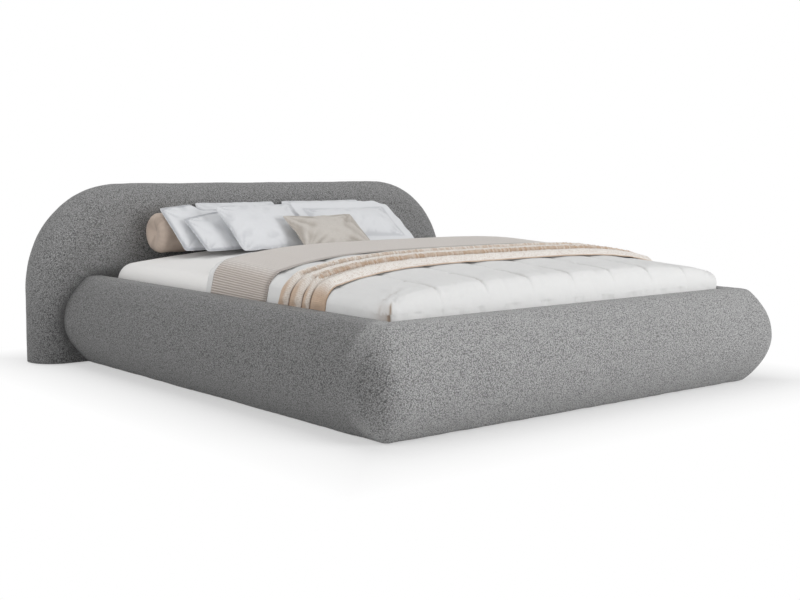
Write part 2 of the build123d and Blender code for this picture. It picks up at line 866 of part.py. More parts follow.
def duvet_section(share, side_rise, middle_rise, seam_depth):
    """Duvet across the bed: a round channel between each two seams."""
    edge = mattress_edge_top + side_rise
    middle = mattress_edge_top + middle_rise
    seams = [(x, crown_height(edge, middle, x) - seam_depth) for x in seam_xs]
    low = edge - duvet_shoulder
    with BuildSketch(across_duvet(share)) as section:
        with BuildLine():
            Line((-duvet_half, duvet_hem), (-duvet_half, low))
            shoulder_arc(-1, duvet_half, low, seams[0][1])
            for left, right in zip(seams, seams[1:]):
                x = (left[0] + right[0]) / 2
                ThreePointArc(left, (x, crown_height(edge, middle, x)), right)
            shoulder_arc(1, duvet_half, low, seams[-1][1])
            Line((duvet_half, low), (duvet_half, duvet_hem))
            Line((duvet_half, duvet_hem), (-duvet_half, duvet_hem))
        make_face()
    return section.sketch


with BuildPart() as duvet:
    for station in duvet_stations:
        add(duvet_section(*station))
    loft(ruled=True)
    trim = cushion_plan(duvet_inside + duvet_side - soft_gap, duvet_hem - overrun)
    extrude(trim, amount=headboard_height, mode=Mode.INTERSECT)
    add(mattress_block(duvet_inside), mode=Mode.SUBTRACT)
keep(duvet, "duvet")


def duvet_rises(share):
    """Rise of the duvet's side and middle at a share of its length."""
    for before, after in zip(duvet_stations, duvet_stations[1:]):
        if before[0] <= share <= after[0]:
            part = (share - before[0]) / (after[0] - before[0])
            return [start + part * (end - start) for start, end in zip(before[1:3], after[1:3])]


def cover_section(share, side_gap, top_gap, drop):
    """Smooth section over the duvet, side_gap outside it and top_gap above its channels."""
    edge, middle = [mattress_edge_top + rise for rise in duvet_rises(share)]
    half = duvet_half + side_gap
    hem = mattress_edge_top - drop
    crown = [(x, crown_height(edge, middle, x) + top_gap) for x in crown_xs]
    low = edge - duvet_shoulder
    with BuildSketch(across_duvet(share)) as section:
        with BuildLine():
            Line((-half, hem), (-half, low))
            shoulder_arc(-1, half, low, crown[0][1])
            for first in range(0, 2 * cover_arcs, 2):
                ThreePointArc(*crown[first : first + 3])
            shoulder_arc(1, half, low, crown[-1][1])
            Line((half, low), (half, hem))
            Line((half, hem), (-half, hem))
        make_face()
    return section.sketch


def shares_between(head_share, foot_share):
    """Shares of the duvet's length where the loft of a cover over it turns, with its two edges."""
    inside = [station[0] for station in duvet_stations if head_share < station[0] < foot_share]
    return [head_share, *inside, foot_share]


def cover_inside(head_share, foot_share, drop):
    """Space under a cover that lies over the duvet."""
    with BuildPart() as inside:
        for share in shares_between(head_share, foot_share):
            add(cover_section(share, soft_gap, cover_top_gap, drop))
        loft(ruled=True)
    return inside.part


blanket_outside = soft_gap + blanket_thickness
blanket_top = cover_top_gap + blanket_thickness
with BuildPart() as blanket:
    for share in shares_between(blanket_head_share, blanket_foot_share):
        add(cover_section(share, blanket_outside, blanket_top, blanket_drop))
    loft(ruled=True)
    add(cover_inside(blanket_head_share, blanket_foot_share, blanket_drop), mode=Mode.SUBTRACT)
keep(blanket, "blanket")

throw_steps = throw_ridges * throw_steps_per_ridge
with BuildPart() as throw:
    for step in range(throw_steps + 1):
        share = throw_head_share + step / throw_steps * (throw_foot_share - throw_head_share)
        swell = (1 - cos(radians(4 * quarter_turn * step / throw_steps_per_ridge))) / 2
        rise = cover_top_gap + throw_thickness + throw_ridge * swell
        add(cover_section(share, soft_gap + throw_thickness, rise, throw_drop))
    loft(ruled=True)
    add(cover_inside(throw_head_share, throw_foot_share, throw_drop), mode=Mode.SUBTRACT)
keep(throw, "throw")


# Pillows and bolster

def seat_height(near_x):
    """Top of the fitted sheet at a place across the bed."""
    edge = mattress_width / 2 - mattress_shoulder
    return mattress_edge_top + sheet_outside + mattress_crown * (1 - (near_x / edge) ** 2)


def pillow(width_share, height, thickness, middle_share, from_headboard, tilt, flange):
    """Pillow crowned on both faces with its sides drawn in, tilted up from its lower edge."""
    width = width_share * mattress_width
    middle_x = middle_share * mattress_width
    sine, cosine = sin(radians(tilt)), cos(radians(tilt))
    near_x = min(abs(middle_x - width / 2), abs(middle_x + width / 2))
    seat = seat_height(near_x) + soft_gap + pillow_seam * cosine
    origin = Vector(middle_x, headboard_front_y - from_headboard, seat)
    up = Vector(0, cosine, sine)
    length = width - 2 * flange
    rise = height - 2 * flange
    stations = zip(pillow_length_shares, pillow_fullness_shares, pillow_height_shares)
    with BuildPart() as cushion:
        for place, fullness, drawn in stations:
            centre = origin + Vector(place * length / 2, 0, 0) + up * (height / 2)
            reach = drawn * rise / 2
            belly = pillow_seam + fullness * (thickness / 2 - pillow_seam)
            with BuildSketch(Plane(origin=centre, x_dir=up, z_dir=(1, 0, 0))):
                with BuildLine():
                    ThreePointArc((-reach, pillow_seam), (0, belly), (reach, pillow_seam))
                    Line((reach, pillow_seam), (reach, -pillow_seam))
                    ThreePointArc((reach, -pillow_seam), (0, -belly), (-reach, -pillow_seam))
                    Line((-reach, -pillow_seam), (-reach, pillow_seam))
                make_face()
        loft()
        if flange:
            centre = origin + up * (height / 2)
            with BuildSketch(Plane(origin=centre, x_dir=(1, 0, 0), z_dir=(0, -sine, cosine))):
                RectangleRounded(width, height, pillow_flange_corner)
            extrude(amount=pillow_seam, both=True)
    return cushion.part


for name, places in pillows.items():
    with BuildPart() as one_pillow:
        add(pillow(*places, pillow_flange if name in flanged_pillows else 0))
    keep(one_pillow, name)

bolster_length = bolster_length_share * mattress_width
bolster_middle_x = bolster_middle_share * mattress_width
bolster_near_x = abs(bolster_middle_x) - bolster_length / 2
bolster_seat = seat_height(bolster_near_x) + soft_gap - bolster_sink
bolster_y = headboard_front_y - bolster_from_headboard
bolster_axis = Vector(bolster_middle_x, bolster_y, bolster_seat + bolster_radius)
with BuildPart() as bolster:
    with BuildSketch(Plane(origin=bolster_axis, x_dir=(1, 0, 0), z_dir=(0, -1, 0))) as half_profile:
        end = bolster_length / 2
        shoulder_x = end - bolster_end_radius
        face_radius = bolster_radius - bolster_end_radius
        with BuildLine():
            Line((bolster_mouth_depth - end, 0), (bolster_mouth_depth - end, bolster_mouth_radius))
            Line((bolster_mouth_depth - end, bolster_mouth_radius), (-end, face_radius))
            EllipticalCenterArc(
                (-shoulder_x, face_radius),
                bolster_end_radius,
                bolster_end_radius,
                2 * quarter_turn,
                arc_size=-quarter_turn,
            )
            Line((-shoulder_x, bolster_radius), (shoulder_x, bolster_radius))
            EllipticalCenterArc(
                (shoulder_x, face_radius),
                bolster_end_radius,
                bolster_end_radius,
                quarter_turn,
                arc_size=-quarter_turn,
            )
            Line((end, face_radius), (end - bolster_mouth_depth, bolster_mouth_radius))
            Line((end - bolster_mouth_depth, bolster_mouth_radius), (end - bolster_mouth_depth, 0))
            Line((end - bolster_mouth_depth, 0), (bolster_mouth_depth - end, 0))
        make_face()
    revolve(axis=Axis(origin=bolster_axis, direction=(1, 0, 0)))
keep(bolster, "bolster")
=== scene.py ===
"""Upholstered platform bed with its bedding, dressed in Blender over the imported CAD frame."""
from __future__ import annotations

import json
import logging
from dataclasses import dataclass, field, replace
from enum import Enum
from math import asin, atan2, cos, pi, radians, sin, sqrt
from typing import Callable, Optional, Sequence, Union

import bmesh
import bpy
import numpy as np
from mathutils import Matrix, Vector

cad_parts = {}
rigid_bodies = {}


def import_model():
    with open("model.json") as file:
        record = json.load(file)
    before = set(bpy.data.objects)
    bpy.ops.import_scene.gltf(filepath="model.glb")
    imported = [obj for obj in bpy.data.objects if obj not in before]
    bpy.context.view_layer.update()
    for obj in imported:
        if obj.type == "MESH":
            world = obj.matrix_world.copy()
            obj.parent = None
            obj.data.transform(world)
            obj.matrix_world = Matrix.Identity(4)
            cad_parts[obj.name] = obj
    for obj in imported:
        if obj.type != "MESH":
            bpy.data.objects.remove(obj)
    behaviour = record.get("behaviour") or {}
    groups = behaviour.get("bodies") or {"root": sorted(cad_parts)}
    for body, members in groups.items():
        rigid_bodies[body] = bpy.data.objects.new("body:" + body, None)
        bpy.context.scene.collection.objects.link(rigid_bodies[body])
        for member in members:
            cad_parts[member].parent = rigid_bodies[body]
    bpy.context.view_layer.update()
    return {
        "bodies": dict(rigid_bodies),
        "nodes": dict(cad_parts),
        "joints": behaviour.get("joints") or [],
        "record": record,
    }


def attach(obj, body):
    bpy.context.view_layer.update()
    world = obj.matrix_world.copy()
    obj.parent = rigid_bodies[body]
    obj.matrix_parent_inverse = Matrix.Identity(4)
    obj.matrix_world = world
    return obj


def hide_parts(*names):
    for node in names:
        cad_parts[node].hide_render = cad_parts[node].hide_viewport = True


Array = np.ndarray
Material = bpy.types.Material
Pair = tuple[float, float]
Triple = tuple[float, float, float]
Surface = Callable[[Array, Array], Array]
Value = Union["Socket", float, tuple]

WHITE = (1.0, 1.0, 1.0)
log = logging.getLogger("bed")


# Nodes

def operator(operation: str, swapped: bool = False) -> Callable:
    """Makes an operator that adds a Math node.

    Args:
        operation: The node's operation.
        swapped: Whether it is the reflected form, such as 1 - socket.

    Returns:
        The method.
    """
    def method(self: "Socket", other: Value) -> "Socket":
        """Returns the node's result."""
        return self.tree.maths(operation, *((other, self) if swapped else (self, other)))
    return method


@dataclass(frozen=True)
class Socket:
    """One output of a node; arithmetic on it adds Math nodes."""

    tree: "Tree"
    port: bpy.types.NodeSocket

    __add__, __radd__ = operator("ADD"), operator("ADD", True)
    __sub__, __rsub__ = operator("SUBTRACT"), operator("SUBTRACT", True)
    __mul__, __rmul__ = operator("MULTIPLY"), operator("MULTIPLY", True)
    __truediv__, __rtruediv__ = operator("DIVIDE"), operator("DIVIDE", True)

    def clamped(self) -> "Socket":
        """Returns the value kept between 0 and 1."""
        return self.tree.maths("MINIMUM", self.tree.maths("MAXIMUM", self, 0.0), 1.0)

    def sine(self) -> "Socket":
        """Returns the sine of the value."""
        return self.tree.maths("SINE", self)

    def other(self, output: Union[int, str]) -> "Socket":
        """Returns another output of the same node."""
        return Socket(self.tree, self.port.node.outputs[output])


@dataclass(eq=False)
class Tree:
    """A tree of nodes, of a material, a world or a modifier."""

    tree: bpy.types.NodeTree

    def node(self, kind: str, settings: Optional[dict] = None, inputs: Optional[dict] = None,
             output: Union[int, str] = 0) -> Socket:
        """Adds a node.

        Args:
            kind: Type of the node.
            settings: Attributes to set on it.
            inputs: Values or sockets for its inputs, by name or index.
            output: Which of its outputs is wanted.

        Returns:
            That output.
        """
        made = self.tree.nodes.new(kind)
        for key, value in (settings or {}).items():
            setattr(made, key, value)
        for key, value in (inputs or {}).items():
            if isinstance(value, Socket):
                self.tree.links.new(value.port, made.inputs[key])
            else:
                made.inputs[key].default_value = value
        return Socket(self, made.outputs[output])

    def maths(self, operation: str, *values: Value) -> Socket:
        """Returns a Math node's result for one or two values."""
        return self.node("ShaderNodeMath", {"operation": operation}, dict(enumerate(values)))

    def end(self, kind: str, shader: Socket) -> None:
        """Joins a shader to a new output node."""
        self.tree.links.new(shader.port, self.tree.nodes.new(kind).inputs["Surface"])


class Shade(Tree):
    """A material's node tree.

    Args:
        name: Name of the material.
    """

    def __init__(self, name: str) -> None:
        """Makes the material, with no nodes yet."""
        self.material = bpy.data.materials.new(name)
        self.material.use_nodes = True
        super().__init__(self.material.node_tree)
        self.tree.nodes.clear()

    def place(self) -> Socket:
        """Returns the object coordinates, in metres."""
        return self.node("ShaderNodeTexCoord", output="Object")

    def cloth(self) -> tuple[Socket, Socket]:
        """Returns the piece's own cloth coordinates, across and along, in metres."""
        uv = self.node("ShaderNodeUVMap", {"uv_map": "cloth"})
        across = self.node("ShaderNodeSeparateXYZ", inputs={0: uv})
        return across, across.other(1)

    def mark(self, name: str) -> Socket:
        """Returns a number that the mesh carries under a name."""
        return self.node("ShaderNodeAttribute", {"attribute_name": name}, output="Fac")

    def stretched(self, where: Socket, scale: Triple) -> Socket:
        """Returns a place scaled differently along its three axes."""
        return self.node("ShaderNodeVectorMath", {"operation": "MULTIPLY"}, {0: where, 1: scale})

    def noise(self, where: Socket, scale: float, detail: float = 2.0, rough: float = 0.5) -> Socket:
        """Returns soft noise between 0 and 1."""
        return self.node("ShaderNodeTexNoise", {"noise_dimensions": "3D"},
                         {"Vector": where, "Scale": scale, "Detail": detail, "Roughness": rough})

    def cells(self, where: Socket, scale: float) -> Socket:
        """Returns the distance to the nearest cell's middle."""
        return self.node("ShaderNodeTexVoronoi", {"feature": "F1"}, {"Vector": where, "Scale": scale})

    def threads(self, across: Socket, pitch: float) -> Socket:
        """Returns rows of threads, 0 between them and 1 on them."""
        return (across * (2 * pi / pitch)).sine() * 0.5 + 0.5

    def spread(self, value: Socket, low: float, high: float) -> Socket:
        """Returns a value with low moved to 0 and high to 1, kept between them."""
        return self.node("ShaderNodeMapRange", {"clamp": True}, {0: value, 1: low, 2: high})

    def blend(self, share: Value, first: Value, second: Value) -> Socket:
        """Returns a colour between two others."""
        return self.node("ShaderNodeMix", {"data_type": "RGBA"}, {0: share, 6: first, 7: second}, 2)

    def bump(self, height: Socket, distance: float, under: Optional[Socket] = None) -> Socket:
        """Adds relief.

        Args:
            height: Its height, from 0 to 1.
            distance: Its depth in metres.
            under: Normal of a relief that it lies on.

        Returns:
            The normal.
        """
        inputs = {"Strength": 1.0, "Distance": distance, "Height": height}
        if under is not None:
            inputs["Normal"] = under
        return self.node("ShaderNodeBump", inputs=inputs)

    def done(self, color: Value, roughness: Value, normal: Socket, **fixed: float) -> Material:
        """Ends the tree in a Principled shader.

        Args:
            color: Base colour.
            roughness: Roughness.
            normal: Normal from a Bump node.
            fixed: Other inputs of the shader, with underscores for spaces.

        Returns:
            The finished material.
        """
        inputs = {"Base Color": color, "Roughness": roughness, "Normal": normal}
        inputs.update({key.replace("_", " "): value for key, value in fixed.items()})
        return self.closed(self.node("ShaderNodeBsdfPrincipled", inputs=inputs))

    def closed(self, shader: Socket) -> Material:
        """Ends the tree in a shader and returns the material."""
        self.end("ShaderNodeOutputMaterial", shader)
        return self.material


def tinted(color: Triple, factor: float = 1.0) -> tuple:
    """Returns an opaque colour, made lighter or darker by a factor."""
    return tuple(part * factor for part in color) + (1.0,)


# Finishes

@dataclass(frozen=True)
class Boucle:
    """Looped wool cover: knots of light yarn with dark gaps between them, with painted light: lighter on the
    foot rail and towards the top, painted shade on the side rails and lower down.
    """

    color: Triple = (0.410, 0.410, 0.410)
    # Colour of the painted shade on the side rails; color is the lit one.
    painted_shade_color: Triple = (0.178, 0.178, 0.178)
    knot: float = 0.0046
    wander: float = 0.007
    clump: float = 225.0
    depth: float = 0.0033

    def make(self, name: str) -> Material:
        """Draws the finish.

        Args:
            name: Name of the material.

        Returns:
            The material.
        """
        shade = Shade(name)
        where = shade.place()
        shift = shade.node("ShaderNodeTexNoise", inputs={"Vector": where, "Scale": 150.0}, output=1)
        bent = shade.node("ShaderNodeVectorMath", {"operation": "MULTIPLY_ADD"},
                          {0: shift, 1: (self.wander,) * 3, 2: where})
        knots = 1.0 - shade.cells(bent, 1 / self.knot)
        loops = 1.0 - shade.cells(bent, 2.4 / self.knot)
        clump = shade.noise(where, self.clump, 2.0, 0.6)
        height = knots * 0.7 + loops * 0.3 + clump * 0.4
        pepper = shade.spread(knots * 0.7 + loops * 0.2 + clump * 0.5, 0.50, 1.05)
        cloudy = shade.noise(where, 3.0, 1.0)
        # Painted light: the mark blends from the side rails' painted shade to the lit foot rail and tops.
        nap = shade.mark("nap").clamped()
        dark = shade.blend(nap, tinted(self.painted_shade_color, 0.24), tinted(self.color, 0.40))
        light = shade.blend(nap, tinted(self.painted_shade_color, 2.05), tinted(self.color, 1.68))
        yarn = shade.blend(pepper, dark, light)
        shadow = shade.blend(nap, tinted(self.painted_shade_color, 0.3), tinted(self.color, 0.35))
        # The crease mark adds painted shade; the cloudy share is random tone.
        color = shade.blend(cloudy * 0.08 + shade.mark("crease").clamped() * 0.9, yarn, shadow)
        return shade.done(color, 0.88 + pepper * 0.1, shade.bump(height, self.depth),
                          Sheen_Weight=0.18, Sheen_Roughness=0.6)


@dataclass(frozen=True)
class Woven:
    """Plain woven cloth with fine threads both ways and a slight unevenness."""

    color: Triple = (0.8, 0.8, 0.8)
    pitch: float = 0.0009
    depth: float = 0.00012
    slub: float = 0.0
    shadow: Triple = (0.62, 0.60, 0.57)
    sheen: float = 0.1
    rumple: float = 0.0012

    def make(self, name: str) -> Material:
        """Draws the finish.

        Args:
            name: Name of the material.

        Returns:
            The material.
        """
        shade = Shade(name)
        where = shade.place()
        across, along = shade.cloth()
        weave = shade.threads(across, self.pitch) * shade.threads(along, self.pitch)
        uneven = shade.noise(where, 5.0, 2.0)
        fleck = shade.noise(shade.stretched(where, (90.0, 420.0, 420.0)), 1.0, 3.0, 0.7)
        base = shade.blend(uneven * 0.18, tinted(self.color), tinted(self.color, 0.93))
        base = shade.blend(weave * 0.06, base, tinted(self.color, 0.86))
        base = shade.blend(shade.spread(fleck, 0.5, 0.8) * self.slub, base, tinted(self.color, 0.68))
        # Painted shade: the crease mark blends in the shadow colour.
        color = shade.blend(shade.mark("crease").clamped(), base, tinted(self.shadow))
        fine = shade.bump(weave + fleck * (2.0 * self.slub), self.depth)
        billow = shade.noise(shade.stretched(where, (26.0, 26.0, 16.0)), 1.0, 3.0, 0.55)
        soft = shade.bump(billow, self.rumple, fine)
        return shade.done(color, 0.82 + fleck * 0.12, soft, Sheen_Weight=self.sheen)


@dataclass(frozen=True)
class Ribbed:
    """Ribbed blanket with painted shade between its ribs, on its drops and along its folded hem."""

    color: Triple = (0.755, 0.715, 0.68)
    # Colour of the painted shade between the ribs.
    valley: Triple = (0.33, 0.275, 0.24)
    pitch: float = 0.0102
    wale: float = 0.0024

    def make(self, name: str) -> Material:
        """Draws the finish.

        Args:
            name: Name of the material.

        Returns:
            The material.
        """
        shade = Shade(name)
        where = shade.place()
        across, along = shade.cloth()
        rib = shade.threads(across, self.pitch)
        knit = shade.noise(shade.stretched(where, (900.0, 260.0, 900.0)), 1.0, 2.0)
        cloudy = shade.noise(where, 9.0, 2.0)
        wale = shade.threads(along, self.wale)
        # Painted shade in the rib grooves of the drops.
        depth = (1.0 - shade.spread(rib, 0.1, 0.62)) * shade.spread(shade.mark("drop"), 0.0, 1.0)
        base = shade.blend(cloudy * 0.25, tinted(self.color), tinted(self.color, 0.88))
        base = shade.blend(knit * 0.25, base, tinted(self.color, 0.74))
        # Painted shade between the ribs, over the drops as a side in shade, and along the folded hem.
        color = shade.blend(depth * 0.58 + (1.0 - rib) * 0.32, base, tinted(self.valley))
        color = shade.blend(shade.mark("drop") * 0.32, color, tinted(self.valley, 1.45))
        color = shade.blend(shade.mark("crease").clamped(), color, tinted(self.valley, 0.62))
        height = rib * 0.8 + knit * 0.5 + wale * 0.15
        return shade.done(color, 0.9 + knit * 0.08, shade.bump(height, 0.0009), Sheen_Weight=0.15)


@dataclass(frozen=True)
class LooseWeave:
    """Loose throw of thick cream yarn, tan in a stripe and where painted shade falls, with painted shadow in
    the gaps between its folds.
    """

    cream: Triple = (0.93, 0.905, 0.865)
    tan: Triple = (0.56, 0.38, 0.25)
    # Colour of the painted shadow in the gaps between the folds.
    gap: Triple = (0.11, 0.06, 0.03)
    stitch: float = 0.0065

    def make(self, name: str) -> Material:
        """Draws the finish.

        Args:
            name: Name of the material.

        Returns:
            The material.
        """
        shade = Shade(name)
        where = shade.place()
        across, along = shade.cloth()
        wander = shade.noise(where, 40.0, 2.0) * 0.006
        rows = shade.threads(across + wander, self.stitch)
        loops = shade.threads(along + wander, self.stitch * 0.8)
        yarn = shade.spread(rows * 0.5 + loops * 0.35 + shade.noise(where, 240.0, 3.0, 0.7) * 0.5, 0.25, 1.0)
        fibre = shade.noise(where, 900.0, 2.0)
        # The tan mark is painted shade on the drops and in the valleys, and a real stripe by the foot edge.
        base = shade.blend(shade.mark("tan").clamped(), tinted(self.cream), tinted(self.tan))
        speck = shade.spread(shade.noise(where, 125.0, 3.0, 0.75), 0.49, 0.64)
        base = shade.blend((1.0 - shade.spread(yarn, 0.3, 0.8)) * 0.30, base, tinted(self.tan, 0.9))
        base = shade.blend(speck * 0.40, base, tinted(self.tan, 0.8))
        base = shade.blend(fibre * 0.16, base, tinted(self.cream, 1.05))
        # Painted shadow in the gaps from the crease mark.
        color = shade.blend(shade.mark("crease").clamped(), base, tinted(self.gap))
        return shade.done(color, 0.9 + fibre * 0.08, shade.bump(yarn + fibre * 0.2, 0.0016), Sheen_Weight=0.2)


@dataclass(frozen=True)
class Timber:
    """Wood or wood board, with grain along one axis."""

    color: Triple = (0.6, 0.46, 0.31)
    grain: Triple = (34.0, 1.6, 34.0)
    depth: float = 0.0003
    gloss: float = 0.55

    def make(self, name: str) -> Material:
        """Draws the finish.

        Args:
            name: Name of the material.

        Returns:
            The material.
        """
        shade = Shade(name)
        where = shade.place()
        lines = shade.noise(shade.stretched(where, self.grain), 1.0, 6.0, 0.65)
        pores = shade.noise(shade.stretched(where, tuple(part * 9 for part in self.grain)), 1.0, 2.0)
        broad = shade.noise(where, 1.8, 1.0)
        streak = shade.spread(lines, 0.32, 0.7)
        color = shade.blend(streak, tinted(self.color, 0.72), tinted(self.color, 1.12))
        color = shade.blend(broad * 0.25, color, tinted(self.color, 0.85))
        color = shade.blend(shade.spread(pores, 0.62, 0.8) * 0.4, color, tinted(self.color, 0.45))
        return shade.done(color, self.gloss + lines * 0.25, shade.bump(lines * 0.5 + pores * 0.5, self.depth))


@dataclass(frozen=True)
class Foam:
    """Open-cell upholstery foam."""

    color: Triple = (0.82, 0.78, 0.66)

    def make(self, name: str) -> Material:
        """Draws the finish.

        Args:
            name: Name of the material.

        Returns:
            The material.
        """
        shade = Shade(name)
        where = shade.place()
        pores = shade.cells(where, 700.0)
        age = shade.noise(where, 4.0, 2.0)
        color = shade.blend(age * 0.5, tinted(self.color), tinted(self.color, 0.8))
        color = shade.blend(shade.spread(pores, 0.1, 0.5) * 0.3, tinted(self.color, 0.7), color)
        return shade.done(color, 0.9 + pores * 0.1, shade.bump(pores, 0.0006))


@dataclass(frozen=True)
class Moulded:
    """Moulded plastic or powder-coated steel with a fine grain and slight wear."""

    color: Triple = (0.03, 0.03, 0.03)
    grain: float = 1600.0
    depth: float = 0.00008
    gloss: float = 0.45

    def make(self, name: str) -> Material:
        """Draws the finish.

        Args:
            name: Name of the material.

        Returns:
            The material.
        """
        shade = Shade(name)
        where = shade.place()
        fine = shade.noise(where, self.grain, 2.0)
        wear = shade.spread(shade.noise(where, 26.0, 4.0, 0.7), 0.6, 0.8)
        color = shade.blend(wear * 0.35, tinted(self.color), tinted(self.color, 2.1))
        return shade.done(color, self.gloss + fine * 0.15 - wear * 0.08, shade.bump(fine, self.depth))


@dataclass(frozen=True)
class Plated:
    """Zinc-plated steel with a faint spangle and fine scratches."""

    color: Triple = (0.60, 0.61, 0.62)

    def make(self, name: str) -> Material:
        """Draws the finish.

        Args:
            name: Name of the material.

        Returns:
            The material.
        """
        shade = Shade(name)
        where = shade.place()
        spangle = shade.cells(where, 150.0)
        scratch = shade.noise(shade.stretched(where, (900.0, 30.0, 900.0)), 1.0, 2.0)
        color = shade.blend(spangle, tinted(self.color, 1.1), tinted(self.color, 0.78))
        return shade.done(color, 0.3 + scratch * 0.2, shade.bump(scratch, 0.00005), Metallic=0.9)


class Cloth(Enum):
    """The finishes of the bed."""

    UPHOLSTERY = Boucle()
    BACKING = Woven(color=(0.15, 0.15, 0.155), shadow=(0.1, 0.1, 0.1), pitch=0.0014, sheen=0.05)
    FOAM = Foam()
    BOARD = Timber(color=(0.58, 0.44, 0.29), grain=(60.0, 60.0, 60.0), gloss=0.6)
    LEDGER = Timber(color=(0.66, 0.50, 0.32))
    SLAT = Timber(color=(0.76, 0.63, 0.45), grain=(1.6, 34.0, 34.0), gloss=0.4)
    PLASTIC = Moulded()
    DARK_STEEL = Moulded(color=(0.045, 0.045, 0.047), grain=2400.0, gloss=0.5)
    ZINC = Plated()
    TICKING = Woven(color=(0.84, 0.83, 0.81), pitch=0.004, depth=0.0006)
    SHEET = Woven(color=(0.87, 0.86, 0.845), shadow=(0.40, 0.31, 0.24), rumple=0.0022)
    DUVET = Woven(color=(0.765, 0.765, 0.76), shadow=(0.36, 0.28, 0.22), rumple=0.0036)
    PILLOW = Woven(color=(0.715, 0.725, 0.745), shadow=(0.30, 0.31, 0.34), rumple=0.0050)
    BLANKET = Ribbed()
    THROW = LooseWeave()
    ACCENT = Woven(color=(0.585, 0.55, 0.51), pitch=0.0022, depth=0.0004, slub=0.35,
                   shadow=(0.26, 0.22, 0.18), rumple=0.0090)
    BOLSTER = Woven(color=(0.58, 0.475, 0.40), pitch=0.0016, depth=0.0003, slub=0.25,
                    shadow=(0.26, 0.20, 0.16), rumple=0.006)

    def material(self) -> Material:
        """Returns this finish's material, made the first time it is asked for."""
        name = self.name.lower() + "_finish"
        return bpy.data.materials.get(name) or self.value.make(name)


# Meshes

def ripple(points: Array, length: float, seed: int, flat: Triple = (1.0, 1.0, 1.0)) -> Array:
    """Smooth random field from sines in random directions.

    Args:
        points: Places, with x, y and z last.
        length: Rough length of its waves, in metres.
        seed: Which field.
        flat: Shares of its waves along the three axes.

    Returns:
        One number for each place, mostly between -1 and 1.
    """
    waves = 12
    draw = np.random.default_rng(seed)
    ways = draw.normal(size=(waves, 3))
    ways /= np.linalg.norm(ways, axis=1)[:, None]
    ways *= np.array(flat) * (2 * pi / length * draw.uniform(0.7, 1.4, waves))[:, None]
    turns = draw.uniform(0, 2 * pi, waves)
    return np.sin(points @ ways.T + turns).sum(axis=-1) / sqrt(2 * waves)


def stacked(*parts: Union[Array, float]) -> Array:
    """Puts grids of numbers together as the parts of places, spread to one size."""
    return np.stack(np.broadcast_arrays(*parts), axis=-1)


def softly(share: Array) -> Array:
    """Smooth step from 0 to 1."""
    kept = np.clip(share, 0, 1)
    return kept * kept * (3 - 2 * kept)


def pinch(distance: Array, width: float) -> Array:
    """Round dip of 1 at no distance that fades out at a width."""
    return np.exp(-((distance / width) ** 2))


def outward(points: Array) -> Array:
    """Returns unit normals of a grid of places, from its two directions."""
    normal = np.cross(np.gradient(points, axis=0), np.gradient(points, axis=1))
    return normal / np.maximum(np.linalg.norm(normal, axis=-1, keepdims=True), 1e-12)


def blurred(numbers: Array, times: int) -> Array:
    """Smooths a grid of numbers.

    Args:
        numbers: The grid.
        times: How often each is averaged with its neighbours.

    Returns:
        The smooth grid.
    """
    out = numbers.copy()
    for _ in range(times):
        wide = np.pad(out, 1, mode="edge")
        out = (wide[:-2, 1:-1] + wide[2:, 1:-1] + wide[1:-1, :-2] + wide[1:-1, 2:] + 2 * out) / 6
    return out


def linked(name: str, data: bpy.types.ID) -> bpy.types.Object:
    """Returns a new object of the scene that holds a mesh, a lamp or a camera."""
    made = bpy.data.objects.new(name, data)
    bpy.context.scene.collection.objects.link(made)
    return made


def grid_faces(rows: int, columns: int, start: int = 0, ring: bool = False, flip: bool = False) -> Array:
    """Faces of a grid whose places are numbered row by row.

    Args:
        rows: How many rows it has.
        columns: How many places each row has.
        start: Number of its first place.
        ring: Whether each row closes on itself.
        flip: Whether its faces look the other way.

    Returns:
        Four place numbers for each face.
    """
    row = np.arange(rows - 1)[:, None]
    column = np.arange(columns if ring else columns - 1)[None, :]
    after = (column + 1) % columns
    faces = np.stack([row * columns + column, (row + 1) * columns + column,
                      (row + 1) * columns + after, row * columns + after], axis=-1).reshape(-1, 4)
    return (faces[:, ::-1] if flip else faces) + start


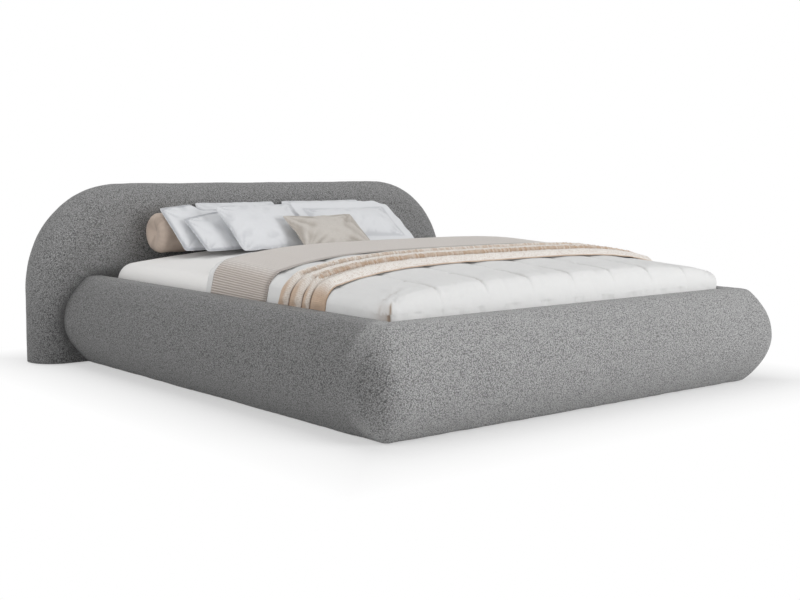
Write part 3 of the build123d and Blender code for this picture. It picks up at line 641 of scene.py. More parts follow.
@dataclass
class Mesh:
    """Places, faces and cloth coordinates that are put together into one piece."""

    places: list = field(default_factory=list)
    faces: list = field(default_factory=list)
    cloth: list = field(default_factory=list)
    marks: dict = field(default_factory=dict)
    count: int = 0

    def grid(self, points: Array, cloth: Optional[Array] = None, ring: bool = False,
             flip: bool = False, marks: Optional[dict] = None) -> int:
        """Adds a grid of places.

        Args:
            points: Places by row and column.
            cloth: Cloth coordinates of the same grid, in metres.
            ring: Whether each row closes on itself.
            flip: Whether its faces look the other way.
            marks: Numbers to carry, by name, of the same grid.

        Returns:
            Number of its first place.
        """
        rows, columns = points.shape[:2]
        start = self.count
        self.places.append(points.reshape(-1, 3))
        self.faces.append(grid_faces(rows, columns, start, ring, flip))
        flat = points[..., :2] if cloth is None else cloth
        self.cloth.append(flat.reshape(-1, 2))
        for name in {*self.marks, *(marks or {})}:
            known = self.marks.setdefault(name, [np.zeros(start)])
            value = (marks or {}).get(name)
            known.append(np.zeros(rows * columns) if value is None else np.asarray(value, float).reshape(-1))
        self.count += rows * columns
        return start

    def strip(self, first: Array, second: Array, closed: bool = False) -> None:
        """Joins two rows of places by faces.

        Args:
            first: Numbers of the one row's places.
            second: Numbers of the other's.
            closed: Whether the rows close on themselves.
        """
        faces = np.stack([first, second, np.roll(second, -1), np.roll(first, -1)], axis=-1)
        self.faces.append(faces if closed else faces[:-1])

    def hollow(self, outer: Array, inner: Array, rims: Sequence[int], flat: slice = slice(0, 2),
               marks: Optional[dict] = None) -> None:
        """Adds a tube of cloth with an outside and an inside.

        Args:
            outer: Places of its outside, in rows that close on themselves.
            inner: Places of its inside.
            rims: Rows at which the two sides are joined.
            flat: Which parts of a place are its cloth coordinates.
            marks: Numbers that the outside carries.
        """
        first = self.grid(outer, cloth=outer[..., flat], ring=True, marks=marks)
        second = self.grid(inner, cloth=inner[..., flat], ring=True)
        rows, size = outer.shape[:2]
        for rim in rims:
            ring = np.arange(size) + rim % rows * size
            self.strip(first + ring, second + ring, closed=True)

    def piece(self, name: str, material: Material, merge: float = 1e-5, levels: int = 0) -> bpy.types.Object:
        """Makes the piece.

        Args:
            name: Its name.
            material: Its material.
            merge: Places nearer than this become one.
            levels: Levels of subdivision.

        Returns:
            The object, linked to the scene.
        """
        mesh = bpy.data.meshes.new(name)
        mesh.from_pydata(np.concatenate(self.places).tolist(), [], np.concatenate(self.faces).tolist())
        coords = np.concatenate(self.cloth)
        layer = mesh.uv_layers.new(name="cloth")
        corner = np.zeros(len(mesh.loops), np.int32)
        mesh.loops.foreach_get("vertex_index", corner)
        layer.data.foreach_set("uv", coords[corner].astype(np.float32).ravel())
        for key in {"crease", *self.marks}:
            data = mesh.attributes.new(key, "FLOAT", "POINT")
            if key in self.marks:
                data.data.foreach_set("value", np.concatenate(self.marks[key]).astype(np.float32))
        work = bmesh.new()
        work.from_mesh(mesh)
        bmesh.ops.remove_doubles(work, verts=work.verts, dist=merge)
        bmesh.ops.dissolve_degenerate(work, edges=work.edges, dist=merge / 10)
        bmesh.ops.recalc_face_normals(work, faces=work.faces)
        if work.calc_volume(signed=True) < 0:
            bmesh.ops.reverse_faces(work, faces=work.faces)
        work.to_mesh(mesh)
        work.free()
        mesh.materials.append(material)
        mesh.shade_smooth()
        made = linked(name, mesh)
        if levels:
            smooth = made.modifiers.new("smooth", "SUBSURF")
            smooth.levels = levels
            smooth.render_levels = levels
        return made


def settle(piece: bpy.types.Object, slot: str, *nodes: str) -> bpy.types.Object:
    """Hands a piece to the frame.

    Args:
        piece: The piece.
        slot: The record's material slot; not used.
        nodes: CAD nodes that it stands for.

    Returns:
        The same piece.
    """
    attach(piece, "root")
    if nodes:
        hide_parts(*nodes)
    log.info("%s: %d faces", piece.name, len(piece.data.polygons))
    return piece


# Geometry Nodes for repeats

class Repeat(Tree):
    """A Geometry Nodes tree that is run once on a piece.

    Args:
        name: Name of the tree.
        numbers: Its named inputs and their values.
    """

    def __init__(self, name: str, numbers: dict) -> None:
        """Makes the tree with its inputs and its output."""
        super().__init__(bpy.data.node_groups.new(name, "GeometryNodeTree"))
        self.numbers = numbers
        face = self.tree.interface
        face.new_socket("Geometry", in_out="INPUT", socket_type="NodeSocketGeometry")
        for key in numbers:
            face.new_socket(key, in_out="INPUT", socket_type="NodeSocketFloat")
        face.new_socket("Geometry", in_out="OUTPUT", socket_type="NodeSocketGeometry")
        self.entry = self.node("NodeGroupInput")

    def run(self, host: bpy.types.Object, last: Socket, material: Material) -> None:
        """Realizes the result and leaves it as the piece's own mesh.

        Args:
            host: The piece.
            last: Geometry that the tree ends in.
            material: Its material.
        """
        real = self.node("GeometryNodeRealizeInstances", inputs={0: last})
        dressed = self.node("GeometryNodeSetMaterial", inputs={0: real, "Material": material})
        self.tree.links.new(dressed.port, self.tree.nodes.new("NodeGroupOutput").inputs[0])
        change = host.modifiers.new(self.tree.name, "NODES")
        change.node_group = self.tree
        for item in self.tree.interface.items_tree:
            if item.in_out == "INPUT" and item.name in self.numbers:
                change[item.identifier] = self.numbers[item.name]
        bpy.context.view_layer.update()
        seen = host.evaluated_get(bpy.context.evaluated_depsgraph_get())
        mesh = bpy.data.meshes.new_from_object(seen)
        host.modifiers.remove(change)
        old = host.data
        host.data = mesh
        mesh.name = old.name
        mesh.shade_smooth()
        if not mesh.materials:
            mesh.materials.append(material)


# Padded rails and headboard

@dataclass(frozen=True)
class RailSizes:
    """Measures of the padded rails."""

    half_width: float = 0.988
    foot_y: float = -1.1425
    head_y: float = 1.0075
    low: float = 0.006
    top: float = 0.396
    belly: float = 0.201
    belly_half: float = 0.195
    bulge: float = 0.115
    inner: float = -0.075
    inner_round: float = 0.006
    top_round: float = 0.060
    turn_drop: float = 0.0159
    corner: float = 0.020
    corner_growth: float = 0.130
    cloth: float = 0.003
    softness: float = 0.0011
    seam_depth: float = 0.0008
    seam_width: float = 0.0045
    # Painted light: where the side rails' painted shade turns to the lit foot rail, and how much darker the
    # cover is painted near the floor.
    painted_light_turn: Pair = (-1.09, 0.30)
    painted_light_corner: Pair = (-1.115, 0.125)
    painted_light_end: Pair = (-1.02, 0.045)
    painted_light_low: float = 0.76
    steps: int = 150


@dataclass(frozen=True)
class Rails:
    """The three padded rails, each a sleeve of cloth round its foam."""

    sizes: RailSizes = RailSizes()

    def bulge(self, height: Array) -> Array:
        """Returns the reach of the bulge at a height."""
        s = self.sizes
        return s.bulge * (1 - ((height - s.belly) / s.belly_half) ** 2)

    def section(self) -> Array:
        """Sets out the sleeve's section.

        Returns:
            Reach and height round it, from its inner bottom edge outwards.
        """
        s = self.sizes
        turn_z = s.top - s.turn_drop
        lean = atan2(2 * s.bulge * (turn_z - s.belly) / s.belly_half ** 2, 1.0)
        centre = float(self.bulge(np.array(turn_z))) - s.top_round * cos(lean)
        side = np.linspace(s.low, turn_z, 40)[:-1]
        points = [(r, s.low) for r in np.linspace(s.inner, 0, 9)[:-1]]
        points += list(zip(self.bulge(side), side))
        points += [(centre + s.top_round * cos(a), s.top - s.top_round + s.top_round * sin(a))
                   for a in np.linspace(lean, pi / 2, 12)]
        points += [(r, s.top) for r in np.linspace(centre, s.inner + s.inner_round, 6)[1:]]
        points += [(s.inner + s.inner_round * (1 - sin(a)), s.top - s.inner_round * (1 - cos(a)))
                   for a in np.linspace(0, pi / 2, 5)[1:]]
        points += [(s.inner, z) for z in np.linspace(s.top - s.inner_round, s.low, 14)[1:-1]]
        return np.array(points)

    def lining(self, section: Array) -> Array:
        """Returns the same section, drawn in by the cloth's thickness."""
        way = np.roll(section, -1, axis=0) - np.roll(section, 1, axis=0)
        way /= np.linalg.norm(way, axis=1)[:, None]
        return section + stacked(-way[:, 1], way[:, 0]) * self.sizes.cloth

    def round_at(self, reach: Array) -> Array:
        """Returns the plan radius of the foot corners at a reach."""
        s = self.sizes
        grown = s.corner + np.maximum(reach, 0) / s.bulge * s.corner_growth
        return np.maximum(grown + np.minimum(reach, 0) / abs(s.inner) * s.corner, 0.0004)

    def side_run(self, section: Array) -> tuple[Array, Array]:
        """Leads a section along the left rail.

        Args:
            section: Reach and height round it.

        Returns:
            Its places, from the headboard to the mitre, and how far each is from the mitre.
        """
        s = self.sizes
        reach, height = section.T[:, None]
        radius = self.round_at(reach)
        start = -(s.half_width + reach)
        corner_y = s.foot_y - reach + radius
        share = np.linspace(0, 1, s.steps)[:, None]
        straight = stacked(start, s.head_y + share * (corner_y - s.head_y), height)
        turn = np.radians(180 + 45 * (1 - (1 - np.linspace(0, 1, 16)) ** 1.7))[1:, None]
        bend = stacked(start + radius + radius * np.cos(turn), corner_y + radius * np.sin(turn), height)
        run = np.concatenate([straight, bend])
        return run, np.linalg.norm(run - run[-1:], axis=-1)

    def foot_run(self, section: Array) -> tuple[Array, Array]:
        """Leads a section along the foot rail.

        Args:
            section: Reach and height round it.

        Returns:
            Its places, from mitre to mitre, and how far each is from the nearer one.
        """
        s = self.sizes
        reach, height = section.T[:, None]
        radius = self.round_at(reach)
        middle_x = s.half_width + reach - radius
        middle_y = s.foot_y - reach + radius
        turn = np.radians(225 + 45 * np.linspace(0, 1, 16) ** 1.7)[:-1, None]
        left = stacked(-middle_x + radius * np.cos(turn), middle_y + radius * np.sin(turn), height)
        straight = stacked(np.linspace(-1, 1, s.steps)[:, None] * middle_x, middle_y - radius, height)
        right = left[::-1] * np.array([-1, 1, 1])
        run = np.concatenate([left, straight, right])
        return run, np.minimum(*(np.linalg.norm(run - end, axis=-1) for end in (run[:1], run[-1:])))

    def sleeve(self, side: str, outer: Array, gap: Array, inner: Array, mirror: bool = False) -> None:
        """Makes one rail's cover.

        Args:
            side: Which rail it is on.
            outer: Places of its outside, by column and round the section.
            gap: Distance of each from the mitre.
            inner: Places of its inside.
            mirror: Whether it is the right-hand rail.
        """
        s = self.sizes
        shown = softly((self.section()[:, 0] + 0.07) / 0.03)[None, :]
        lift = ripple(outer, 0.16, 3) * s.softness + ripple(outer, 0.05, 5) * s.softness * 0.4
        lift = np.clip(lift, -s.softness, s.softness * 1.3) - pinch(gap, s.seam_width) * s.seam_depth * 0.5
        outer = outer + outward(outer) * (lift * shown)[..., None]
        if mirror:
            outer, inner = (places * np.array([-1, 1, 1]) for places in (outer, inner))
        mesh = Mesh()
        # Painted shade where the rail meets the headboard, and a faint dark line at the mitre seam.
        crease = pinch(gap, 0.003) * 0.2 + pinch(outer[..., 1] - s.head_y, 0.022) * 0.75
        # Painted light: the side rails in painted shade, the foot rail lit, and lighter towards the top.
        end = softly((s.painted_light_end[0] - outer[..., 1]) / s.painted_light_end[1])
        start, span = (side + (corner - side) * end for side, corner in zip(s.painted_light_turn, s.painted_light_corner))
        raised = s.painted_light_low + (1 - s.painted_light_low) * softly((outer[..., 2] - 0.15) / 0.25)
        nap = softly((outer[..., 0] - start) / span) * raised
        mesh.hollow(outer, inner, (0, -1), marks={"crease": crease, "nap": nap})
        made = mesh.piece(side + "_rail_upholstery", Cloth.UPHOLSTERY.material(), merge=1e-6)
        settle(made, "upholstery", side + "_rail_cover")

    def build(self) -> None:
        """Makes the three covers."""
        section = self.section()
        lining = self.lining(section)
        outer, gap = self.side_run(section)
        inner, _ = self.side_run(lining)
        self.sleeve("left", outer, gap, inner)
        self.sleeve("right", outer, gap, inner, mirror=True)
        self.sleeve("foot", *self.foot_run(section), self.foot_run(lining)[0])


@dataclass(frozen=True)
class ArchSizes:
    """Measures of the arched headboard."""

    half_width: float = 1.216
    low: float = 0.006
    top: float = 0.809
    across: float = 0.448
    up: float = 0.475
    front_y: float = 1.0075
    back_y: float = 1.2575
    rim: float = 0.124
    panel_inset: float = 0.098
    panel_depth: float = 0.008
    cloth: float = 0.003
    spine_half: float = 0.55
    spine_z: float = 0.25
    # Painted light on the headboard: how lit it is painted, rising with height.
    nap: float = 0.33
    painted_light_rise: Pair = (0.02, 0.50)
    softness: float = 0.0014
    hem_turn: float = 0.003
    steps: int = 60


@dataclass(frozen=True)
class Headboard:
    """The arched headboard: its boucle cover and the lining cloth on its back."""

    sizes: ArchSizes = ArchSizes()

    def outline(self, inset: float, low: float) -> Array:
        """Sets out the arch.

        Args:
            inset: How far it is drawn in.
            low: Height of its bottom.

        Returns:
            X and z round the arch and back along its bottom.
        """
        s = self.sizes
        half, turn_x, turn_z = s.half_width - inset, s.half_width - s.across, s.top - s.up
        angles = np.linspace(pi, pi / 2, 30)
        left = [(-half, z) for z in np.linspace(low, turn_z, 16)[:-1]]
        curve = [(-turn_x + (s.across - inset) * cos(a), turn_z + (s.up - inset) * sin(a))
                 for a in angles]
        top = [(x, s.top - inset) for x in np.linspace(-turn_x, turn_x, s.steps)[1:-1]]
        right = [(-x, z) for x, z in reversed(left + curve)]
        bottom = [(x, low) for x in np.linspace(half, -half, s.steps)[1:-1]]
        return np.array(left + curve + top + right + bottom)

    def spine(self, outline: Array) -> Array:
        """Returns the point of the middle line that each place of an outline is drawn to."""
        s = self.sizes
        x = np.clip(outline[:, 0] / (s.half_width - s.across), -1, 1) * s.spine_half
        x[2 - s.steps:] = np.linspace(s.spine_half, -s.spine_half, s.steps)[1:-1]
        return stacked(x, s.spine_z)

    def row(self, inset: float, y: float, low: float, share: float = 1.0) -> Array:
        """Sets out one row of places round the arch.

        Args:
            inset: How far it is drawn in.
            y: Where it stands.
            low: Height of its bottom.
            share: Share of the way from the middle line to the outline.

        Returns:
            The places.
        """
        edge = self.outline(inset, low)
        flat = self.spine(edge) * (1 - share) + edge * share
        return stacked(flat[:, 0], y, flat[:, 1])

    def cover_rows(self, grow: float) -> list[Array]:
        """Sets out one side of the cover.

        Args:
            grow: How far it lies inside the cover's outside.

        Returns:
            Its rows, from the front's middle to its back edge.
        """
        s = self.sizes
        radius = s.rim - grow
        middle_y = (s.front_y + s.back_y) / 2
        half_y = (s.back_y - s.front_y) / 2 - grow
        low = s.low + grow
        rows = [self.row(s.rim, s.front_y + grow, low, share) for share in np.linspace(0, 1, 15)[:-1]]
        last = pi - asin(1 - (s.panel_inset - grow) / radius)
        for angle in np.linspace(0, last, 26):
            inset = grow + radius * (1 - sin(angle))
            rows.append(self.row(inset, middle_y - half_y * cos(angle), low))
        return rows

    def build(self) -> None:
        """Makes the cover and the back panel's cloth."""
        s = self.sizes
        outer = np.array(self.cover_rows(0.0))
        inner = np.array(self.cover_rows(s.cloth))
        body = softly((outer[..., 2] - 0.012) / 0.03)
        lift = ripple(outer, 0.30, 11) * s.softness + ripple(outer, 0.07, 12) * s.softness * 0.35
        lift = np.clip(lift, -s.softness, s.softness * 1.3) * body
        outer = outer - outward(outer) * (lift * softly(np.arange(len(outer)) / 3)[:, None])[..., None]
        mesh = Mesh()
        # Painted light: lighter towards the top.
        nap = s.nap * softly((outer[..., 2] - s.painted_light_rise[0]) / s.painted_light_rise[1])
        mesh.hollow(outer, inner, (-1,), slice(None, None, 2), {"crease": self.painted_shade_by_rails(outer), "nap": nap})
        made = mesh.piece("headboard_upholstery", Cloth.UPHOLSTERY.material())
        settle(made, "upholstery", "headboard_cover")
        self.back()

    def painted_shade_by_rails(self, points: Array) -> Array:
        """Paints shade on the front beside the rails, where they meet it.

        Args:
            points: Places of the cover.

        Returns:
            How much painted shade each has, from 0 to 1.
        """
        rails = Rails()
        s = rails.sizes
        x, z = abs(points[..., 0]), points[..., 2]
        beside = np.where(z < s.top, x - s.half_width - rails.bulge(np.clip(z, s.low, s.top)), 1.0)
        above = np.where(x < s.half_width + 0.01, z - s.top, 1.0)
        gap = np.maximum(np.minimum(abs(beside), abs(above)), 0)
        return pinch(gap, 0.030) * 0.80 * softly((1.06 - points[..., 1]) / 0.04)

    def back(self) -> None:
        """Makes the lining cloth on the back panel, with its folded edge."""
        s = self.sizes
        low = s.low + s.cloth
        front = s.back_y - s.panel_depth
        rows = [self.row(s.panel_inset, front, low, share) for share in np.linspace(0, 1, 9)]
        for angle in np.linspace(0, pi / 2, 6):
            turn = s.hem_turn * (1 - cos(angle))
            rows.append(self.row(s.panel_inset + turn, s.back_y - s.hem_turn * (1 - sin(angle)), low + turn))
        rows += [self.row(s.panel_inset + inset, s.back_y - dip, low + inset)
                 for inset, dip in ((0.012, 0.0), (0.014, 0.0008), (0.016, 0.0))]
        rows += [self.row(s.panel_inset + 0.016, s.back_y, low + 0.016, share)
                 for share in np.linspace(1, 0, 12)[1:]]
        points = np.array(rows)
        inside = softly((np.arange(len(points)) - 19) / 3)[:, None]
        points[..., 1] -= abs(ripple(points, 0.22, 21)) * 0.0008 * inside
        mesh = Mesh()
        mesh.grid(points, cloth=points[..., ::2], ring=True)
        made = mesh.piece("headboard_back_cloth", Cloth.BACKING.material())
        settle(made, "backing_cloth", "headboard_back_cover")


# Mattress, sheet and duvet

@dataclass(frozen=True)
class TraySizes:
    """A body that lies on the bed: rounded at its sides and ends, with straight drops."""

    half: float
    head_y: float
    foot_y: float
    side_roll: float
    side_drop: float
    end_roll: float
    end_drop: float
    hem: float
    head_rolled: bool = True
    end_low: float = 0.0


@dataclass(frozen=True)
class Tray:
    """Grid of places over such a body, and down its drops.

    Its crown gives the height over the floor for grids of x and y.
    """

    sizes: TraySizes
    crown: Surface

    @staticmethod
    def lines(low: float, high: float, rolls: Pair, step: float) -> Array:
        """Shares out places that are close together in the rolls at both ends.

        Args:
            low: The first place.
            high: The last place.
            rolls: Lengths of the two rolls.
            step: Rough distance between places in the middle.

        Returns:
            The places.
        """
        bend = 1 - np.cos(np.linspace(0, pi / 2, 9))
        count = max(2, round((high - low - sum(rolls)) / step))
        middle = np.linspace(low + rolls[0], high - rolls[1], count + 1)
        start = low + rolls[0] * bend[:-1] if rolls[0] else np.array([])
        end = high - rolls[1] * bend[:-1][::-1] if rolls[1] else np.array([])
        return np.concatenate([start, middle, end])

    def top(self, xs: Array, ys: Array) -> Array:
        """Lays a grid over its top.

        Args:
            xs: Places across it.
            ys: Places along it.

        Returns:
            The grid, with its rolled edges lying round.
        """
        s = self.sizes
        x, y = np.meshgrid(xs, ys, indexing="ij")
        p = np.clip((abs(x) - (s.half - s.side_roll)) / s.side_roll, 0, 1)
        q = np.clip((s.foot_y + s.end_roll - y) / s.end_roll, 0, 1)
        way = -np.ones_like(y)
        if s.head_rolled:
            head = np.clip((y - (s.head_y - s.end_roll)) / s.end_roll, 0, 1)
            way = np.where(head > q, 1.0, -1.0)
            q = np.maximum(q, head)
        long = np.hypot(p, q)
        reach = np.maximum(p, q)
        scale = np.where(long > 1e-9, reach / np.maximum(long, 1e-9), 1.0)
        corner = (p > 0) & (q > 0)
        x = np.where(corner, np.sign(x) * (s.half - s.side_roll + p * scale * s.side_roll), x)
        end = np.where(way > 0, s.head_y - s.end_roll, s.foot_y + s.end_roll)
        y = np.where(corner, end + way * q * scale * s.end_roll, y)
        part = np.where(long > 1e-9, (q / np.maximum(long, 1e-9)) ** 2, 0.0)
        end_drop = self.crown(x, y) - s.end_low if s.end_low else s.end_drop
        drop = s.side_drop * (1 - part) + end_drop * part
        z = self.crown(x, y) - drop * (1 - np.sqrt(np.maximum(1 - reach ** 2, 0)))
        return stacked(x, y, z)

    def edge(self, top: Array) -> Array:
        """Finds the places round its edge.

        Args:
            top: Grid over its top.

        Returns:
            Their numbers, from the head's left corner by way of the foot.
        """
        rows, columns = top.shape[:2]
        right = (rows - 1) * columns + np.arange(1, columns)
        ring = [np.arange(columns)[::-1], np.arange(1, rows) * columns, right]
        if self.sizes.head_rolled:
            ring.append(np.arange(1, rows - 1)[::-1] * columns + columns - 1)
        return np.concatenate(ring)

    def drop(self, top: Array, levels: int) -> Array:
        """Lays a grid down its drops.

        Args:
            top: Grid over its top.
            levels: How many rows the drops have.

        Returns:
            Rows of places from its edge straight down to the hem.
        """
        edge = top.reshape(-1, 3)[self.edge(top)]
        share = (np.linspace(0, 1, levels) ** 1.15)[:, None, None]
        low = edge.copy()
        low[:, 2] = self.sizes.hem
        return edge[None] * (1 - share) + low[None] * share


@dataclass(frozen=True)
class MattressSizes:
    """Measures of the mattress and its fitted sheet."""

    half: float = 0.900
    foot_y: float = -1.0525
    head_y: float = 0.9475
    low: float = 0.262
    edge_top: float = 0.462
    crown: float = 0.050
    shoulder: float = 0.060
    end_across: float = 0.140
    end_up: float = 0.110
    sheet_gap: float = 0.0003
    sheet: float = 0.002
    hem: float = 0.290
    quilt: Pair = (0.18, 0.0015)
    seam: Pair = (0.004, 0.0015)

    def height(self, x: Union[Array, float]) -> Union[Array, float]:
        """Returns the height of the mattress across its width."""
        return self.edge_top + self.crown * (1 - np.clip(abs(x) / (self.half - self.shoulder), 0, 1) ** 2)


@dataclass(frozen=True)
class Mattress:
    """The mattress and the fitted sheet over it."""

    sizes: MattressSizes = MattressSizes()

    def tray(self, grow: float, hem: float) -> Tray:
        """Returns the mattress's body, grown outwards all round, with drops down to a hem."""
        s = self.sizes
        sizes = TraySizes(s.half + grow, s.head_y + grow, s.foot_y - grow, s.shoulder + grow,
                          s.shoulder + grow, s.end_across + grow, s.end_up + grow, hem)
        return Tray(sizes, lambda x, y: s.height(x) + grow)

    def grids(self, grow: float, hem: float, step: float, levels: int) -> tuple[Tray, Array, Array]:
        """Lays grids over the body.

        Args:
            grow: How far it is grown outwards.
            hem: Height that its drops reach down to.
            step: Rough distance between places.
            levels: How many rows the drops have.

        Returns:
            The body, the places of its top, and those of its drops.
        """
        tray = self.tray(grow, hem)
        t = tray.sizes
        xs = tray.lines(-t.half, t.half, (t.side_roll, t.side_roll), step)
        ys = tray.lines(t.foot_y, t.head_y, (t.end_roll, t.end_roll), step)
        top = tray.top(xs, ys)
        return tray, top, tray.drop(top, levels)

    def build(self) -> None:
        """Makes both pieces."""
        self.core()
        self.sheet()

    def core(self) -> None:
        """Makes the mattress: quilted ticking with a seam round its top and bottom edges."""
        s = self.sizes
        tray, top, drop = self.grids(0.0, s.low, 0.03, 16)
        quilt = abs(np.prod(np.sin(top[..., :2] * pi / s.quilt[0]), axis=-1))
        top[..., 2] -= s.quilt[1] * (1 - quilt)
        side = drop[..., :2] - np.array([0, (s.foot_y + s.head_y) / 2])
        pull = sum(pinch(drop[..., 2] - z, s.seam[0]) for z in (s.low + 0.012, s.edge_top - 0.075))
        drop[..., :2] -= side / np.linalg.norm(side, axis=-1, keepdims=True) * (pull * s.seam[1])[..., None]
        drop[0] = top.reshape(-1, 3)[tray.edge(top)]
        mesh = Mesh()
        mesh.grid(top)
        mesh.grid(drop, cloth=drop[..., 1:], ring=True)
        base = top.copy()
        base[..., 2] = s.low
        mesh.grid(base)
        made = mesh.piece("mattress_body", Cloth.TICKING.material())
        settle(made, "mattress_ticking", "mattress")

    def sheet(self) -> None:
        """Makes the fitted sheet, tucked at its head corners."""
        s = self.sizes
        tray, outer, outer_drop = self.grids(s.sheet_gap + s.sheet, s.hem, 0.018, 14)
        _, inner, inner_drop = self.grids(s.sheet_gap, s.hem, 0.018, 14)
        near = np.hypot(abs(outer_drop[..., 0]) - s.half + 0.05, outer_drop[..., 1] - s.head_y + 0.05)
        tuck = np.sin(outer_drop[..., 1] * 2 * pi / 0.028) * pinch(near, 0.09) * 0.0007
        outer_drop[..., 0] -= np.sign(outer_drop[..., 0]) * abs(tuck)
        outer[..., 2] -= abs(ripple(outer, 0.12, 31, (1.0, 0.35, 1.0))) * 0.0007
        outer_drop[0] = outer.reshape(-1, 3)[tray.edge(outer)]
        mesh = Mesh()
        mesh.grid(outer)
        mesh.grid(inner)
        mesh.hollow(outer_drop, inner_drop, (-1,), slice(1, None))
        made = mesh.piece("fitted_sheet_cloth", Cloth.SHEET.material())
        settle(made, "white_cotton", "fitted_sheet")


@dataclass(frozen=True)
class DuvetSizes:
    """Measures of the duvet, and of its surface that the covers follow."""

    half: float = 0.9081
    seam_half: float = 0.8601
    shoulder: float = 0.048
    head_y: float = 0.0855
    foot_y: float = -1.0605
    foot_roll: float = 0.045
    foot_low: float = 0.420
    hem: float = 0.330
    seam_pitch: float = 0.225
    tuft_y: float = -0.857
    edge_top: float = 0.462
    slant: float = 0.040
    stations: tuple = ((0.0855, 35, 80, 6), (0.0511, 58, 112, 10), (-0.0027, 61, 116, 10),
                       (-0.3844, 38, 104, 10), (-0.7224, 10, 75, 10), (-0.9929, 4, 54, 7),
                       (-1.0433, -1, 44, 5), (-1.0605, -2, 42, 4))


class Crown:
    """Height of the duvet's surface, which the blanket and the throw follow too.

    Args:
        sizes: The duvet's measures.
    """

    def __init__(self, sizes: DuvetSizes) -> None:
        """Reads the heights along the bed."""
        self.sizes = sizes
        table = np.array(sizes.stations)[::-1]
        self.ys = table[:, 0]
        self.sides = sizes.edge_top + table[:, 1] / 1000
        self.middles = sizes.edge_top + table[:, 2] / 1000
        self.depths = table[:, 3] / 1000

    def smooth(self, x: Array, y: Array) -> Array:
        """Returns the height with no seams."""
        side = np.interp(y, self.ys, self.sides)
        middle = np.interp(y, self.ys, self.middles)
        return side + (middle - side) * (1 - (x / self.sizes.half) ** 4)

    def seams(self, x: Array, y: Array) -> Array:
        """Returns how far the surface is drawn in by the seams between the channels."""
        s = self.sizes
        depth = np.interp(y, self.ys, self.depths)
        off = self.from_seam(x)
        dish = np.clip(1 - off / (s.seam_pitch / 2), 0, 1) ** 2
        return depth * (dish * 0.55 + pinch(off, 0.006) * 0.30)

    def from_seam(self, x: Array) -> Array:
        """Returns the distance from the nearest seam between channels."""
        s = self.sizes
        nearest = np.clip(np.round(x / s.seam_pitch), -3, 3) * s.seam_pitch
        outer = s.seam_half - abs(x)
        return np.minimum(abs(x - nearest), np.where(outer > -0.02, abs(outer), 1.0))


